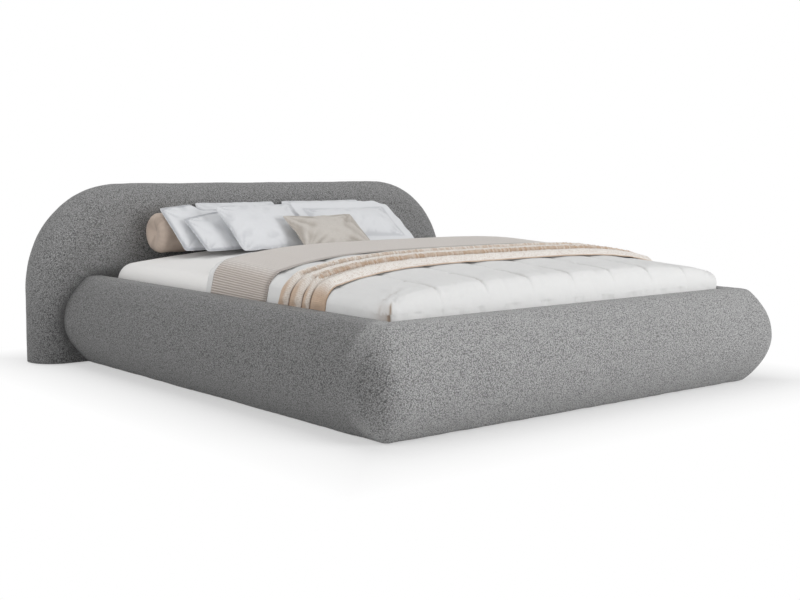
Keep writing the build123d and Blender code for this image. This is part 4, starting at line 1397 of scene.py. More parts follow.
class Duvet:
    """The quilted duvet over the foot half of the bed.

    Args:
        sizes: Its measures.
        mattress: The mattress that it lies on.
        seed: Which set of wrinkles it has.
    """

    tufts = range(-3, 4)
    levels = 18
    fold_point = (0.86, -1.02)
    near_corner = (-0.897, -1.043)
    lip = 0.016

    def __init__(self, sizes: DuvetSizes, mattress: Mattress, seed: int = 41) -> None:
        """Sets out its surface and its body."""
        s = self.sizes = sizes
        self.mattress = mattress
        self.crown = Crown(sizes)
        self.seed = seed
        body = TraySizes(s.half, s.head_y, s.foot_y, s.shoulder, s.shoulder, s.foot_roll, s.foot_low, s.hem,
                         head_rolled=False, end_low=s.foot_low)
        self.tray = Tray(body, self.height)

    def height(self, x: Array, y: Array) -> Array:
        """Returns the height of its top, with its seams, tufts and wrinkles."""
        return self.crown.smooth(x, y) - self.crown.seams(x, y) - self.tufted(x, y) - self.wrinkles(x, y)

    def tufted(self, x: Array, y: Array) -> Array:
        """Draws the surface in round the tufts.

        Args:
            x: Places across the duvet.
            y: Places along it.

        Returns:
            How far it is drawn in.
        """
        s = self.sizes
        pull = np.zeros_like(x)
        for index in self.tufts:
            gap = np.hypot(x - index * s.seam_pitch, y - s.tuft_y)
            angle = np.arctan2(y - s.tuft_y, x - index * s.seam_pitch)
            pull += 0.007 * pinch(gap, 0.013) + 0.0016 * pinch(gap, 0.05) * (1 + np.cos(angle * 7 + index))
        return pull

    def stitched(self, x: Array, y: Array, width: float) -> Array:
        """Returns the lines of the seams between the tufts and the foot edge, from 0 to 1."""
        line = pinch(self.crown.from_seam(x), width)
        return line * softly((self.sizes.tuft_y - y) / 0.03) * (abs(x) < 0.75)

    def pleat(self, x: Array, y: Array, width: float) -> Array:
        """Returns the line of the pleat that leads to each foot corner, from 0 to 1."""
        off = abs(x) - self.fold_point[0]
        return pinch(y + 0.990 + 0.30 * off, width) * softly((off + 0.10) / 0.06)

    def wrinkles(self, x: Array, y: Array) -> Array:
        """Draws the small folds on the top, most of them by the foot edge.

        Args:
            x: Places across the duvet.
            y: Places along it.

        Returns:
            Their depth.
        """
        s = self.sizes
        flat = stacked(x, y, 0.0)
        near_foot = softly((s.tuft_y + 0.02 - y) / 0.12)
        folds = np.clip(ripple(flat, 0.055, self.seed, (1.5, 0.35, 0.0)), 0, 1) * 0.0045 * near_foot
        broad = np.clip(ripple(flat, 0.11, self.seed + 1, (0.8, 1.2, 0.0)), 0, 1) * 0.0016
        off = (abs(x) - self.fold_point[0], y - self.fold_point[1])
        fan = np.clip(np.sin(np.arctan2(off[1], off[0]) * 11), 0, 1) * pinch(np.hypot(*off), 0.12) * 0.006
        ridge = pinch(y - (s.foot_y + 0.055) - ripple(flat, 0.4, self.seed + 2) * 0.004, 0.004) * 0.0016
        sewn = self.stitched(x, y, 0.0050) * 0.0060 + self.pleat(x, y, 0.006) * 0.0035
        return folds + broad + fan + ridge + sewn + self.corner(x, y) * 0.006

    def corner(self, x: Array, y: Array) -> Array:
        """Returns how far into the crease at a foot corner each place is, from 0 to 1."""
        s = self.sizes
        side = (abs(x) - s.half + s.shoulder) / s.shoulder
        end = (s.foot_y + s.foot_roll - y) / s.foot_roll
        inside = softly((np.hypot(side, end) - 0.5) / 0.3) * (side > 0) * (end > 0)
        return pinch((side - end) * 0.05, 0.0055) * inside

    def top(self, xs: Array, ys: Array) -> Array:
        """Lays a grid over its top.

        Args:
            xs: Places across it.
            ys: Places along it.

        Returns:
            The grid, with its head edge turned down.
        """
        places = self.tray.top(xs, ys)
        roll = np.clip((places[..., 1] - (self.sizes.head_y - self.lip)) / self.lip, 0, 1)
        places[..., 2] -= (places[..., 2] - 0.500) * 0.25 * (1 - np.sqrt(1 - roll ** 2))
        return places

    def shading(self, top: Array) -> Array:
        """Paints shade on the top in its seams, its tufts and the creases of its corners.

        Args:
            top: Grid over its top.

        Returns:
            How much painted shade each place has.
        """
        s = self.sizes
        x, y, z = top[..., 0], top[..., 1], top[..., 2]
        dark = self.stitched(x, y, 0.0042) * 0.34 * softly((y - s.foot_y - 0.03) / 0.02)
        dark += self.pleat(x, y, 0.004) * 0.25
        for index in self.tufts:
            dark += pinch(np.hypot(x - index * s.seam_pitch, y - s.tuft_y), 0.007) * 0.5
        # Painted shade low on the sides by the foot corners.
        low = softly((0.458 - z) / 0.02)
        by_corner = softly((0.06 + s.foot_y + s.foot_roll - y) / 0.09) * (abs(x) > s.half - 0.02)
        return dark + self.corner(x, y) * 0.9 * softly((0.47 - z) / 0.02) + by_corner * low * 0.22

    def drop(self, top: Array) -> tuple[Array, Array]:
        """Lays a grid down its drops.

        Args:
            top: Grid over its top.

        Returns:
            The grid, and how much painted shade each place has in a fold.
        """
        s = self.sizes
        rows = self.tray.drop(top, self.levels)
        step = np.linalg.norm(np.diff(rows[0], axis=0, prepend=rows[0, :1]), axis=1)
        depth = np.linspace(0, 1, self.levels)[:, None]
        flat = stacked(np.cumsum(step)[None, :], depth * 0.1, 0.0)
        centre = np.array([0.0, -0.5])
        by_side = abs(rows[..., :1]) > s.half - 0.03
        away = np.where(by_side, np.array([1.0, 0.0]) * np.sign(rows[..., :1]), np.array([0.0, -1.0]))
        on_foot = softly((-(rows[..., 1]) - 1.03) / 0.02)
        folds = np.clip(ripple(flat, 0.045, self.seed + 5, (1.3, 0.5, 0)), 0, 1) * (0.0016 + 0.0044 * on_foot)
        fade = softly(depth * 6)
        rows[..., :2] -= away * (folds * fade)[..., None]
        corner = np.linalg.norm(rows[..., :2] - np.array(self.near_corner), axis=-1)
        tuck = pinch(corner, 0.0065) * softly((0.452 - rows[..., 2]) / 0.02) * fade
        rows[..., :2] -= (rows[..., :2] - centre) * (tuck * 0.006)[..., None]
        # Painted shade in the pleat at the near foot corner and on the side beside it.
        flap = softly((rows[..., 1] + 1.047) / 0.006) * pinch(rows[..., 1] + 1.03, 0.05)
        shown = (rows[..., 0] < -0.88) & (rows[..., 1] < -0.9)
        crease = pinch(corner, 0.0060) * 0.95 * softly((0.455 - rows[..., 2]) / 0.01)
        crease += np.where(shown, flap * 0.42 * softly((0.452 - rows[..., 2]) / 0.04), 0.0)
        return self.slanted(rows), crease

    def slanted(self, rows: Array) -> Array:
        """Returns the places of a drop with its head edge led towards the head as it goes down."""
        s = self.sizes
        near_head = softly((rows[..., 1] + 0.30) / (s.head_y + 0.30))
        rows[..., 1] += s.slant * np.linspace(0, 1, rows.shape[0])[:, None] * near_head
        return rows

    def lower(self, xs: Array, ys: Array, outer: Array) -> tuple[Array, Array]:
        """Lays grids over its inside.

        Args:
            xs: Places across it.
            ys: Places along it.
            outer: Grid over its top.

        Returns:
            The grids of its underside, on the sheet, and of its drops' inside.
        """
        s = self.sizes
        m = self.mattress.sizes
        under = self.mattress.tray(m.sheet_gap + m.sheet + 0.0004, s.hem)
        t = under.sizes
        share = (ys - s.head_y) / (s.foot_y - s.head_y)
        places = under.top(xs / s.half * t.half, s.head_y + share * (t.foot_y - s.head_y))
        places[..., 2] = np.minimum(places[..., 2], outer[..., 2] - 0.001)
        holder = replace(under, sizes=replace(t, head_y=s.head_y, head_rolled=False))
        return places, self.slanted(holder.drop(places, self.levels))

    def build(self) -> None:
        """Makes the duvet, with extra places at its seams."""
        s = self.sizes
        xs = Tray.lines(-s.half, s.half, (s.shoulder, s.shoulder), 0.0110)
        seams = np.array([index * s.seam_pitch + off for index in self.tufts
                          for off in (-0.008, -0.004, 0, 0.004, 0.008)])
        keep = abs(seams[:, None] - xs).min(axis=0) > 0.0035
        xs = np.sort(np.concatenate([xs[keep], seams]))
        ys = np.concatenate([Tray.lines(s.foot_y, s.head_y - self.lip, (s.foot_roll, 0.0), 0.0105),
                             s.head_y - self.lip * (1 - np.sin(np.linspace(0, pi / 2, 6)[1:]))])
        top = self.top(xs, ys)
        rows, crease = self.drop(top)
        under, inside = self.lower(xs, ys, top)
        mesh = Mesh()
        first = mesh.grid(top, marks={"crease": self.shading(top)})
        side = mesh.grid(rows, cloth=rows[..., 1:] + rows[..., :1] * np.array([1.0, 0.0]),
                         marks={"crease": crease})
        low = mesh.grid(under)
        lining = mesh.grid(inside, cloth=inside[..., 1:])
        head_row = np.arange(len(xs)) * len(ys) + len(ys) - 1
        mesh.strip(first + head_row, low + head_row)
        size = rows.shape[1]
        down = np.arange(self.levels) * size
        for line in (np.arange(size) + down[-1], down, down + size - 1):
            mesh.strip(side + line, lining + line)
        made = mesh.piece("duvet_body", Cloth.DUVET.material())
        settle(made, "white_cotton", "duvet")


# Blanket and throw over the duvet

@dataclass(frozen=True)
class CoverSizes:
    """A strip of cloth across the duvet, from hem to hem."""

    head_y: float
    foot_y: float
    hem: float
    thickness: float
    slant: Pair
    rows: int
    steps: float
    side_gap: float = 0.0003
    top_gap: float = 0.0015


class Part(Enum):
    """The parts of a cover across the bed."""

    DROP = 0
    BEND = 1
    TOP = 2


class Cover:
    """A strip of cloth over the duvet, from one hem across to the other.

    Args:
        crown: The duvet's surface.
    """

    sizes: CoverSizes

    def __init__(self, crown: Crown) -> None:
        """Takes the surface that it lies on."""
        self.crown = crown

    def lift(self, share: Array) -> Array:
        """Returns the further height of its top, for shares of its width."""
        return share * 0

    def bulge(self, share: Array, z: Array) -> Array:
        """Returns the further reach of its drops, for shares of its width and heights."""
        return share * 0

    def across(self) -> list[tuple[int, Part, float]]:
        """Sets out its columns.

        Returns:
            The side, the part and the place in it of each column, from hem to hem.
        """
        s, half = self.sizes, self.crown.sizes.seam_half
        down, over, turn = (max(least, round(length / s.steps))
                            for least, length in ((6, 0.11), (20, 2 * half), (6, 0.075)))
        left = [(-1, Part.DROP, share) for share in np.linspace(1, 0, down + 1)[:-1]]
        left += [(-1, Part.BEND, angle) for angle in np.linspace(0, pi / 2, turn + 1)[:-1]]
        return (left + [(0, Part.TOP, x) for x in np.linspace(-half, half, over + 1)]
                + [(1, part, value) for _, part, value in reversed(left)])

    def places(self, thickness: float) -> tuple[Array, Array, Array]:
        """Lays a grid over one side of the cloth.

        Args:
            thickness: How far that side stands off the cloth's inside.

        Returns:
            Its places, the cloth coordinates, and how far each is down a drop.
        """
        s, d = self.sizes, self.crown.sizes
        share = np.linspace(0, 1, s.rows)
        y = s.head_y + share * (s.foot_y - s.head_y)
        slant = s.slant[0] * (1 - share) + s.slant[1] * share
        over = s.top_gap + thickness
        half = d.half + s.side_gap + thickness
        high = self.crown.smooth(np.full_like(y, d.seam_half), y) + over + self.lift(share)
        low = self.crown.smooth(np.full_like(y, d.half), y) - d.shoulder
        columns, downs = [], []
        for side, part, value in self.across():
            if part is Part.TOP:
                x, down = np.full_like(y, value), 0.0
                z = self.crown.smooth(x, y) + over + self.lift(share)
            else:
                if part is Part.BEND:
                    x = d.seam_half + (half - d.seam_half) * cos(value)
                    z = low + (high - low) * sin(value)
                    down = 0.5 * (1 - sin(value))
                else:
                    x, down = half, 0.5 + 0.5 * value
                    z = low + (s.hem - low) * value
                x = side * (x + self.bulge(share, z) * down * 2 * (down < 0.99))
            columns.append(stacked(x, y + slant * down, z))
            downs.append(np.full_like(y, down))
        points = np.array(columns)
        middle = points[:, s.rows // 2]
        run = np.cumsum(np.linalg.norm(np.diff(middle, axis=0, prepend=middle[:1]), axis=1))
        return points, stacked(run[:, None], -y[None, :]), np.array(downs)


def cloth_shell(outer: Array, inner: Array, cloth: Array, marks: dict) -> Mesh:
    """Closes two sides of a cloth round all its edges.

    Args:
        outer: Places of its outside.
        inner: Places of its inside.
        cloth: Cloth coordinates.
        marks: Numbers to carry.

    Returns:
        The closed mesh.
    """
    mesh = Mesh()
    rows, columns = outer.shape[:2]
    first = mesh.grid(outer, cloth=cloth, marks=marks)
    second = mesh.grid(inner, cloth=cloth, flip=True, marks=marks)
    edge = np.concatenate([np.arange(columns), np.arange(1, rows) * columns + columns - 1,
                           (rows - 1) * columns + np.arange(columns - 1)[::-1],
                           np.arange(1, rows - 1)[::-1] * columns])
    mesh.strip(first + edge, second + edge, closed=True)
    return mesh


class Blanket(Cover):
    """The ribbed blanket, whose ribs are raised by Geometry Nodes."""

    sizes = CoverSizes(head_y=-0.005, foot_y=-0.382, hem=0.345, thickness=0.0013, slant=(0.093, 0.070),
                       rows=30, steps=0.0017)
    pitch = 0.0102
    rise = 0.0009
    hem_share = 0.97

    def build(self) -> None:
        """Makes the blanket and the fold of its foot edge."""
        s = self.sizes
        inner, _, _ = self.places(0.0)
        outer, cloth, down = self.places(s.thickness)
        share = np.linspace(0, 1, s.rows)[None, :]
        # Painted shade along the fold of the foot edge.
        hem = pinch((share - self.hem_share) * (s.head_y - s.foot_y), 0.012) + np.zeros_like(down)
        marks = {"drop": softly(down * 3), "crease": hem * 0.55}
        made = cloth_shell(outer, inner, cloth, marks).piece("blanket_cloth", Cloth.BLANKET.material())
        self.raise_ribs(made)
        settle(made, "blanket_weave", "blanket")

    def raise_ribs(self, made: bpy.types.Object) -> None:
        """Moves the places outwards in round ribs along the cloth's own coordinates.

        Args:
            made: The blanket.
        """
        ribs = Repeat("ribs", {"Pitch": self.pitch, "Height": self.rise})
        uv = ribs.node("GeometryNodeInputNamedAttribute", {"data_type": "FLOAT_VECTOR"}, {"Name": "cloth"})
        across = ribs.node("ShaderNodeSeparateXYZ", inputs={0: uv})
        wave = (across / ribs.entry.other("Pitch") * (2 * pi)).sine() * ribs.entry.other("Height")
        normal = ribs.node("GeometryNodeInputNormal")
        move = ribs.node("ShaderNodeVectorMath", {"operation": "SCALE"}, {0: normal, "Scale": wave})
        moved = ribs.node("GeometryNodeSetPosition", inputs={"Geometry": ribs.entry, "Offset": move})
        ribs.run(made, moved, Cloth.BLANKET.material())


class Throw(Cover):
    """The folded throw: four soft folds of loose weave with knotted rows across them."""

    sizes = CoverSizes(head_y=-0.4737, foot_y=-0.7247, hem=0.340, thickness=0.0024, slant=(0.087, 0.034),
                       rows=110, steps=0.010)
    folds = 4
    valleys = (0.23, 0.51, 0.68)
    fold_height = 0.020
    rope_offset = 5
    rope_start = 17
    knot_pitch = 0.0088
    knot_size = 0.0050
    knot_lean = 0.013
    knot_tones = ((0.05, 0.70), (0.10, 0.80), (0.40, 1.10))

    def phase(self, share: Array) -> Array:
        """Returns which fold a share of the width is in, with its part of the way over it."""
        return np.interp(share, (0.0,) + tinted(self.valleys), np.arange(self.folds + 1.0))

    def swell(self, share: Array) -> Array:
        """Returns the roundness of the folds, from 0 in a valley to 1 on a crest."""
        return ((1 - np.cos(2 * pi * self.phase(share))) / 2) ** 0.6

    def lift(self, share: Array) -> Array:
        """Returns the height of the folds over the throw's width."""
        return self.fold_height * self.swell(share)

    def bulge(self, share: Array, z: Array) -> Array:
        """Returns the reach of the folds on the drops, none where the rail is beside them."""
        return 0.008 * self.swell(share) * softly((z - 0.398) / 0.02)

    def build(self) -> None:
        """Makes the throw and its knotted rows."""
        s = self.sizes
        outer, cloth, down = self.places(s.thickness)
        inner, _, _ = self.places(0.0)
        share = np.linspace(0, 1, s.rows)[None, :] + np.zeros_like(down)
        sag = ripple(outer, 0.09, 51) * 0.0008 * (down < 0.4)
        outer[..., 2] += sag
        inner[..., 2] += sag
        phase = self.phase(share)
        valley = abs(share[..., None] - np.array(self.valleys)).min(axis=-1)
        inside = (share > 0.1) & (share < 0.9)
        # Painted shade: the drops are tan as if in shade, less so over the back half of each fold but the
        # last, where painted light falls; the valleys get a little painted shade; the line by the foot edge
        # is a real tan stripe.
        drops = softly(down * 2.6)
        lighter = 0.7 * softly((phase % 1 - 0.4) / 0.3) * (phase < self.folds - 1)
        tan = 0.95 * drops * (1 - lighter) + 0.18 * pinch(valley, 0.02) * inside + 0.8 * (share > 0.985)
        # Painted shadow in the gaps between the folds, stronger on the drops.
        gaps = pinch(valley, 0.014) * inside * (0.20 + 0.80 * drops)
        mesh = cloth_shell(outer, inner, cloth, {"tan": tan, "crease": gaps})
        made = mesh.piece("throw_cloth", Cloth.THROW.material())
        settle(made, "throw_weave", "throw")
        self.knots(outer)

    def knots(self, outer: Array) -> None:
        """Sets rows of tan knots along the valleys between the folds, by Geometry Nodes.

        Args:
            outer: Places of the throw's outside.
        """
        lines, edges, first = [], [], 0
        for valley in self.valleys:
            column = round(valley * (self.sizes.rows - 1)) - self.rope_offset
            line = outer[self.rope_start:-self.rope_start, column] + np.array([0, 0, 0.004])
            lines.append(line)
            edges += [(first + i, first + i + 1) for i in range(len(line) - 1)]
            first += len(line)
        mesh = bpy.data.meshes.new("throw_knots")
        mesh.from_pydata(np.concatenate(lines).tolist(), edges, [])
        host = linked("throw_knots", mesh)
        bead = self.bead()
        rows = Repeat("knots", {"Pitch": self.knot_pitch, "Size": 1.0})
        curve = rows.node("GeometryNodeMeshToCurve", inputs={0: rows.entry})
        spaced = rows.node("GeometryNodeResampleCurve", {"mode": "LENGTH"},
                           {0: curve, "Length": rows.entry.other("Pitch")})
        points = rows.node("GeometryNodeCurveToPoints", {"mode": "EVALUATED"}, {0: spaced})
        turn = rows.node("FunctionNodeRandomValue", {"data_type": "FLOAT"}, {2: 0.8, 3: 1.15, "Seed": 7}, 1)
        info = rows.node("GeometryNodeObjectInfo", inputs={"Object": bead}, output="Geometry")
        placed = rows.node("GeometryNodeInstanceOnPoints",
                           inputs={"Points": points, "Instance": info, "Rotation": points.other("Rotation"),
                                   "Scale": turn * rows.entry.other("Size")})
        rows.run(host, placed, Cloth.THROW.material())
        self.tone(host, len(bead.data.vertices))
        bpy.data.objects.remove(bead)
        settle(host, "throw_weave")

    def tone(self, host: bpy.types.Object, each: int) -> None:
        """Gives every knot its own share of tan, within the tones of its row.

        Args:
            host: The piece with all knots.
            each: How many places one knot has.
        """
        tan = host.data.attributes.get("tan") or host.data.attributes.new("tan", "FLOAT", "POINT")
        knots = len(host.data.vertices) // each
        spread = np.random.default_rng(61).uniform(0.0, 1.0, knots)
        row = np.arange(knots) * len(self.valleys) // knots
        low, high = np.array(self.knot_tones)[row].T
        tan.data.foreach_set("value", np.repeat(low + (high - low) * spread, each).astype(np.float32))

    @staticmethod
    def bead() -> bpy.types.Object:
        """Makes one small knot.

        Returns:
            A fat loop of yarn, leant across its row.
        """
        rings, around = 5, 6
        angle = np.linspace(0, 2 * pi, around, endpoint=False)
        share = np.linspace(0, 1, rings)[:, None]
        radius = Throw.knot_size * np.sin(pi * (0.08 + 0.84 * share))
        lean = (share - 0.5) * Throw.knot_lean
        points = stacked(lean * 0.7 + radius * 0.75 * np.cos(angle), radius * np.sin(angle) + lean,
                         radius * np.cos(angle))
        mesh = Mesh()
        start = mesh.grid(points, ring=True)
        for ring in (0, rings - 1):
            middle = np.repeat(points[ring].mean(axis=0)[None], around, axis=0)
            centre = mesh.grid(np.array([middle, middle]), ring=True)
            mesh.strip(start + ring * around + np.arange(around), centre + np.arange(around), closed=True)
        return mesh.piece("knot", Cloth.THROW.material(), merge=1e-6)


# Pillows and bolster

@dataclass(frozen=True)
class PillowSizes:
    """One pillow: its size, where its lower edge lies, and how far it is tilted up.

    Its top is a row of places over its width, from -1 to 1, with the share of the height that the
    top edge is raised there.
    """

    node: str
    width: float
    height: float
    thickness: float
    middle_x: float
    lower_y: float
    tilt: float
    seed: int
    flange: float = 0.0
    pressure: float = 4.0
    wrinkle: float = 1.0
    square: float = 24.0
    hem: float = 0.0
    top: tuple[Pair, ...] = ((-1.0, 0.0), (1.0, 0.0))
    fan: float = 0.045
    cloth: Cloth = Cloth.PILLOW
    slot: str = "pillow_cotton"


@dataclass(frozen=True)
class Pillow:
    """A sewn case that is blown up by the cloth simulation and then leant in its place."""

    sizes: PillowSizes

    seam = 0.003
    border = 0.0009
    length_shares = (-1, -0.8, -0.45, 0, 0.45, 0.8, 1)
    fullness_shares = (0.05, 0.55, 0.9, 1, 0.9, 0.55, 0.05)
    step = 0.0085
    frames = 20

    def body(self) -> Array:
        """Returns the width and height of the case within its border."""
        return np.array([self.sizes.width, self.sizes.height]) - 2 * self.sizes.flange

    def case(self) -> Array:
        """Sets out the flat case.

        Returns:
            The places of its front, which is a little raised in its middle.
        """
        width, height = self.body()
        across = np.linspace(-1, 1, round(width / self.step) + 1)
        up = np.linspace(-1, 1, round(height / self.step) + 1)
        u, v = np.meshgrid(across, up, indexing="ij")
        return stacked(u * width / 2, v * height / 2, 0.010 * ((1 - u ** 4) * (1 - v ** 4)))

    def blown(self) -> tuple[Array, Array]:
        """Sews the case shut and blows it up.

        Returns:
            The places of the front and the back after the simulation.
        """
        front = self.case()
        back = front * np.array([1, 1, -1])
        rows, columns = front.shape[:2]
        mesh = bpy.data.meshes.new("case")
        number = np.arange(rows * columns).reshape(rows, columns)
        twin = number + rows * columns
        twin[0], twin[-1], twin[:, 0], twin[:, -1] = number[0], number[-1], number[:, 0], number[:, -1]
        up = grid_faces(rows, columns)
        down = twin.reshape(-1)[up[:, [0, 3, 2, 1]]]
        used, index = np.unique(np.concatenate([up, down]), return_inverse=True)
        places = np.concatenate([front.reshape(-1, 3), back.reshape(-1, 3)])[used]
        mesh.from_pydata(places.tolist(), [], index.reshape(-1, 4).tolist())
        case = linked("case", mesh)
        spread = np.zeros((2 * rows * columns, 3))
        spread[used] = self.simulate(case)
        bpy.data.objects.remove(case)
        return spread[number], spread[twin]

    def simulate(self, case: bpy.types.Object) -> Array:
        """Blows a case up with Cloth.

        Args:
            case: The flat case.

        Returns:
            Its places after the last frame.
        """
        scene = bpy.context.scene
        cloth = case.modifiers.new("Cloth", "CLOTH")
        settings = {"quality": 6, "use_pressure": True, "uniform_pressure_force": self.sizes.pressure,
                    "tension_stiffness": 30, "compression_stiffness": 12, "bending_stiffness": 0.15,
                    "mass": 0.2}
        for key, value in settings.items():
            setattr(cloth.settings, key, value)
        cloth.settings.effector_weights.gravity = 0
        cloth.collision_settings.use_collision = False
        cloth.point_cache.frame_start = 1
        cloth.point_cache.frame_end = self.frames
        for frame in range(1, self.frames + 1):
            scene.frame_set(frame)
        seen = case.evaluated_get(bpy.context.evaluated_depsgraph_get())
        after = np.zeros(len(seen.data.vertices) * 3)
        seen.data.vertices.foreach_get("co", after)
        scene.frame_set(1)
        return after.reshape(-1, 3)

    def belly(self, u: Array, v: Array) -> Array:
        """Returns half the thickness that the pillow may have at shares of its width and height."""
        s = self.sizes
        fine = np.linspace(-1, 1, 81)
        full = np.interp(fine, self.length_shares, self.fullness_shares)
        full = np.convolve(np.pad(full, 4, mode="edge"), np.ones(9) / 9, mode="valid")
        middle = self.seam + np.interp(u, fine, full) * (s.thickness / 2 - self.seam)
        return self.seam + (middle - self.seam) * np.clip(1 - v ** 2, 0, 1)

    def shaped(self) -> tuple[Array, Array, Array]:
        """Fits the blown case to the pillow's size.

        Returns:
            The places of its front and back, and how much painted shade each has in its folds and along its
            hem.
        """
        s = self.sizes
        front, back = self.blown()
        width, height = self.body()
        across = np.linspace(-1, 1, front.shape[0])[:, None] + np.zeros(front.shape[1])
        up = np.linspace(-1, 1, front.shape[1])[None, :] + np.zeros(front.shape[:1])[:, None]
        size = np.ptp(front[..., :2].reshape(-1, 2), axis=0) / 2
        sides, folds = [], []
        for points, way in ((front, 1), (back, -1)):
            flat = points[..., :2] / size * np.array([width, height]) / 2
            still = stacked(across * width, up * height) / 2 * self.rounded(across, up)[..., None]
            flat = flat * 0.2 + still * 0.8
            thick = abs(points[..., 2])
            fold = np.clip(blurred(thick, 14) - thick, -0.0004, 0.008) + self.pleats(across, up, way)
            folds.append(fold)
            body = self.belly(flat[..., 0] / width * 2, flat[..., 1] / height * 2)
            rim = np.clip(np.minimum(1 - abs(across), 1 - abs(up)) * 12, 0, 1)
            depth = np.maximum(body - fold * s.wrinkle * rim, 0.0012)
            on_seam = (abs(across) > 0.999) | (abs(up) > 0.999)
            depth = np.where(on_seam, self.border if s.flange else 0.0, depth)
            sides.append(np.concatenate([flat, (depth * way)[..., None]], axis=-1))
        edge = np.minimum((1 - abs(across)) * width, (1 - abs(up)) * height) / 2
        # Painted shade in the folds and along the hem's fold.
        hem = pinch(edge - 0.012, 0.0048)
        crease = softly(folds[0] / 0.007) * 0.36 * s.wrinkle + hem * s.hem
        return sides[0], sides[1], np.clip(crease, 0, 0.8)

    def rounded(self, across: Array, up: Array) -> Array:
        """Returns how far each place is drawn in, so that the outline has rounded corners."""
        power = self.sizes.square
        far = np.maximum(np.maximum(abs(across), abs(up)), 1e-6)
        edge = np.maximum(abs(across / far) ** power + abs(up / far) ** power, 1.0) ** (-1 / power)
        return 1 - (1 - edge) * far ** 3

    def pleats(self, across: Array, up: Array, way: int) -> Array:
        """Draws the folds that fan out from the corners and the seams.

        Args:
            across: Shares of the width, from -1 to 1.
            up: Shares of the height, from -1 to 1.
            way: 1 for the front and -1 for the back.

        Returns:
            Their depth.
        """
        s = self.sizes
        total = np.zeros_like(across)
        for corner, (u, v) in enumerate(((-1, -1), (1, -1), (-1, 1), (1, 1))):
            x, y = (across - u) * s.width / 2, (up - v) * s.height / 2
            gap, angle = np.hypot(x, y), np.arctan2(y, x)
            wave = np.clip(np.sin(angle * 13 + s.seed + corner * 2 + way), 0, 1) ** 1.5
            wave += 0.6 * np.clip(np.sin(angle * 23 + s.seed * 3 + corner), 0, 1)
            total += wave * pinch(gap - s.fan * 1.15, s.fan) * 0.0050
        flat = stacked(across * s.width, up * 0.03, 0.0)
        seam = np.clip(ripple(flat, 0.045, s.seed + way, (1.0, 0.4, 0.0)), 0, 1)
        total += seam * pinch((1 - abs(up)) * s.height / 2 - 0.018, 0.022) * 0.003
        broad = ripple(stacked(across * s.width, up * s.height, 0.0), 0.16, s.seed + 9)
        return total + np.clip(broad, 0, 1) * 0.0035

    def stand(self, points: Array) -> Array:
        """Leans places back from the lower edge, where it lies on the sheet.

        Args:
            points: Places of the lying pillow.

        Returns:
            The same places, standing.
        """
        s, m = self.sizes, MattressSizes()
        tilt = radians(s.tilt)
        near = min(abs(s.middle_x - s.width / 2), abs(s.middle_x + s.width / 2))
        seat = m.height(near) + m.sheet + 2 * m.sheet_gap + self.seam * cos(tilt)
        places, shares = np.array(s.top).T
        rise = (points[..., 1] + s.height / 2) * (1 + np.interp(points[..., 0] * 2 / s.width, places, shares))
        return stacked(s.middle_x + points[..., 0], s.lower_y + rise * cos(tilt) - points[..., 2] * sin(tilt),
                       seat + rise * sin(tilt) + points[..., 2] * cos(tilt))

    def build(self) -> None:
        """Makes the pillow."""
        s = self.sizes
        front, back, crease = self.shaped()
        mesh = Mesh()
        cloth = front[..., :2]
        mesh.grid(self.stand(front), cloth=cloth, marks={"crease": crease})
        mesh.grid(self.stand(back), cloth=cloth, flip=True)
        if s.flange:
            self.add_flange(mesh, front)
        made = mesh.piece(s.node + "_case", s.cloth.material(), levels=1)
        settle(made, s.slot, s.node)

    def add_flange(self, mesh: Mesh, front: Array) -> None:
        """Adds the flat border that is sewn round the case.

        Args:
            mesh: Mesh of the case.
            front: Places of its front.
        """
        s = self.sizes
        edge = np.concatenate([front[:, 0], front[-1, 1:], front[-2::-1, -1], front[0, -2:0:-1]])
        count = len(edge)
        square = edge[:, :2] / edge[:, :2].max(axis=0)
        target = square / abs(square).max(axis=1)[:, None] * np.array([s.width, s.height]) / 2
        droop = softly((target[:, 0] / s.width * 2 - 0.72) / 0.28) * softly(target[:, 1] / s.height * 2)
        target = target - stacked(droop * 0.012, droop * 0.030)
        run = np.arange(count) / count * 2 * pi
        part = np.linspace(0, 1, 7)[:, None]
        wave = 0.0022 * np.sin(run * 17 + s.seed + np.sin(run * 5)) * softly(part * 1.4)
        flat = edge[:, :2] * (1 - part[..., None]) + target * part[..., None]
        starts = []
        for side in (1, -1):
            ring = stacked(flat[..., 0], flat[..., 1], wave + self.border * (1 - 0.6 * (part > 0.99)) * side)
            # Painted shade where the flange meets the case.
            start = mesh.grid(self.stand(ring), cloth=flat, ring=True, flip=side < 0,
                              marks={"crease": np.broadcast_to(pinch(part, 0.12) * 0.35, wave.shape)})
            starts.append(start + (len(part) - 1) * count + np.arange(count))
        mesh.strip(*starts, closed=True)


@dataclass(frozen=True)
class BolsterSizes:
    """Measures of the bolster."""

    length: float = 0.236
    radius: float = 0.092
    end_round: float = 0.034
    mouth: float = 0.010
    mouth_depth: float = 0.012
    middle: Triple = (-0.5832, 0.9105, 0.5853)
    pleats: int = 21


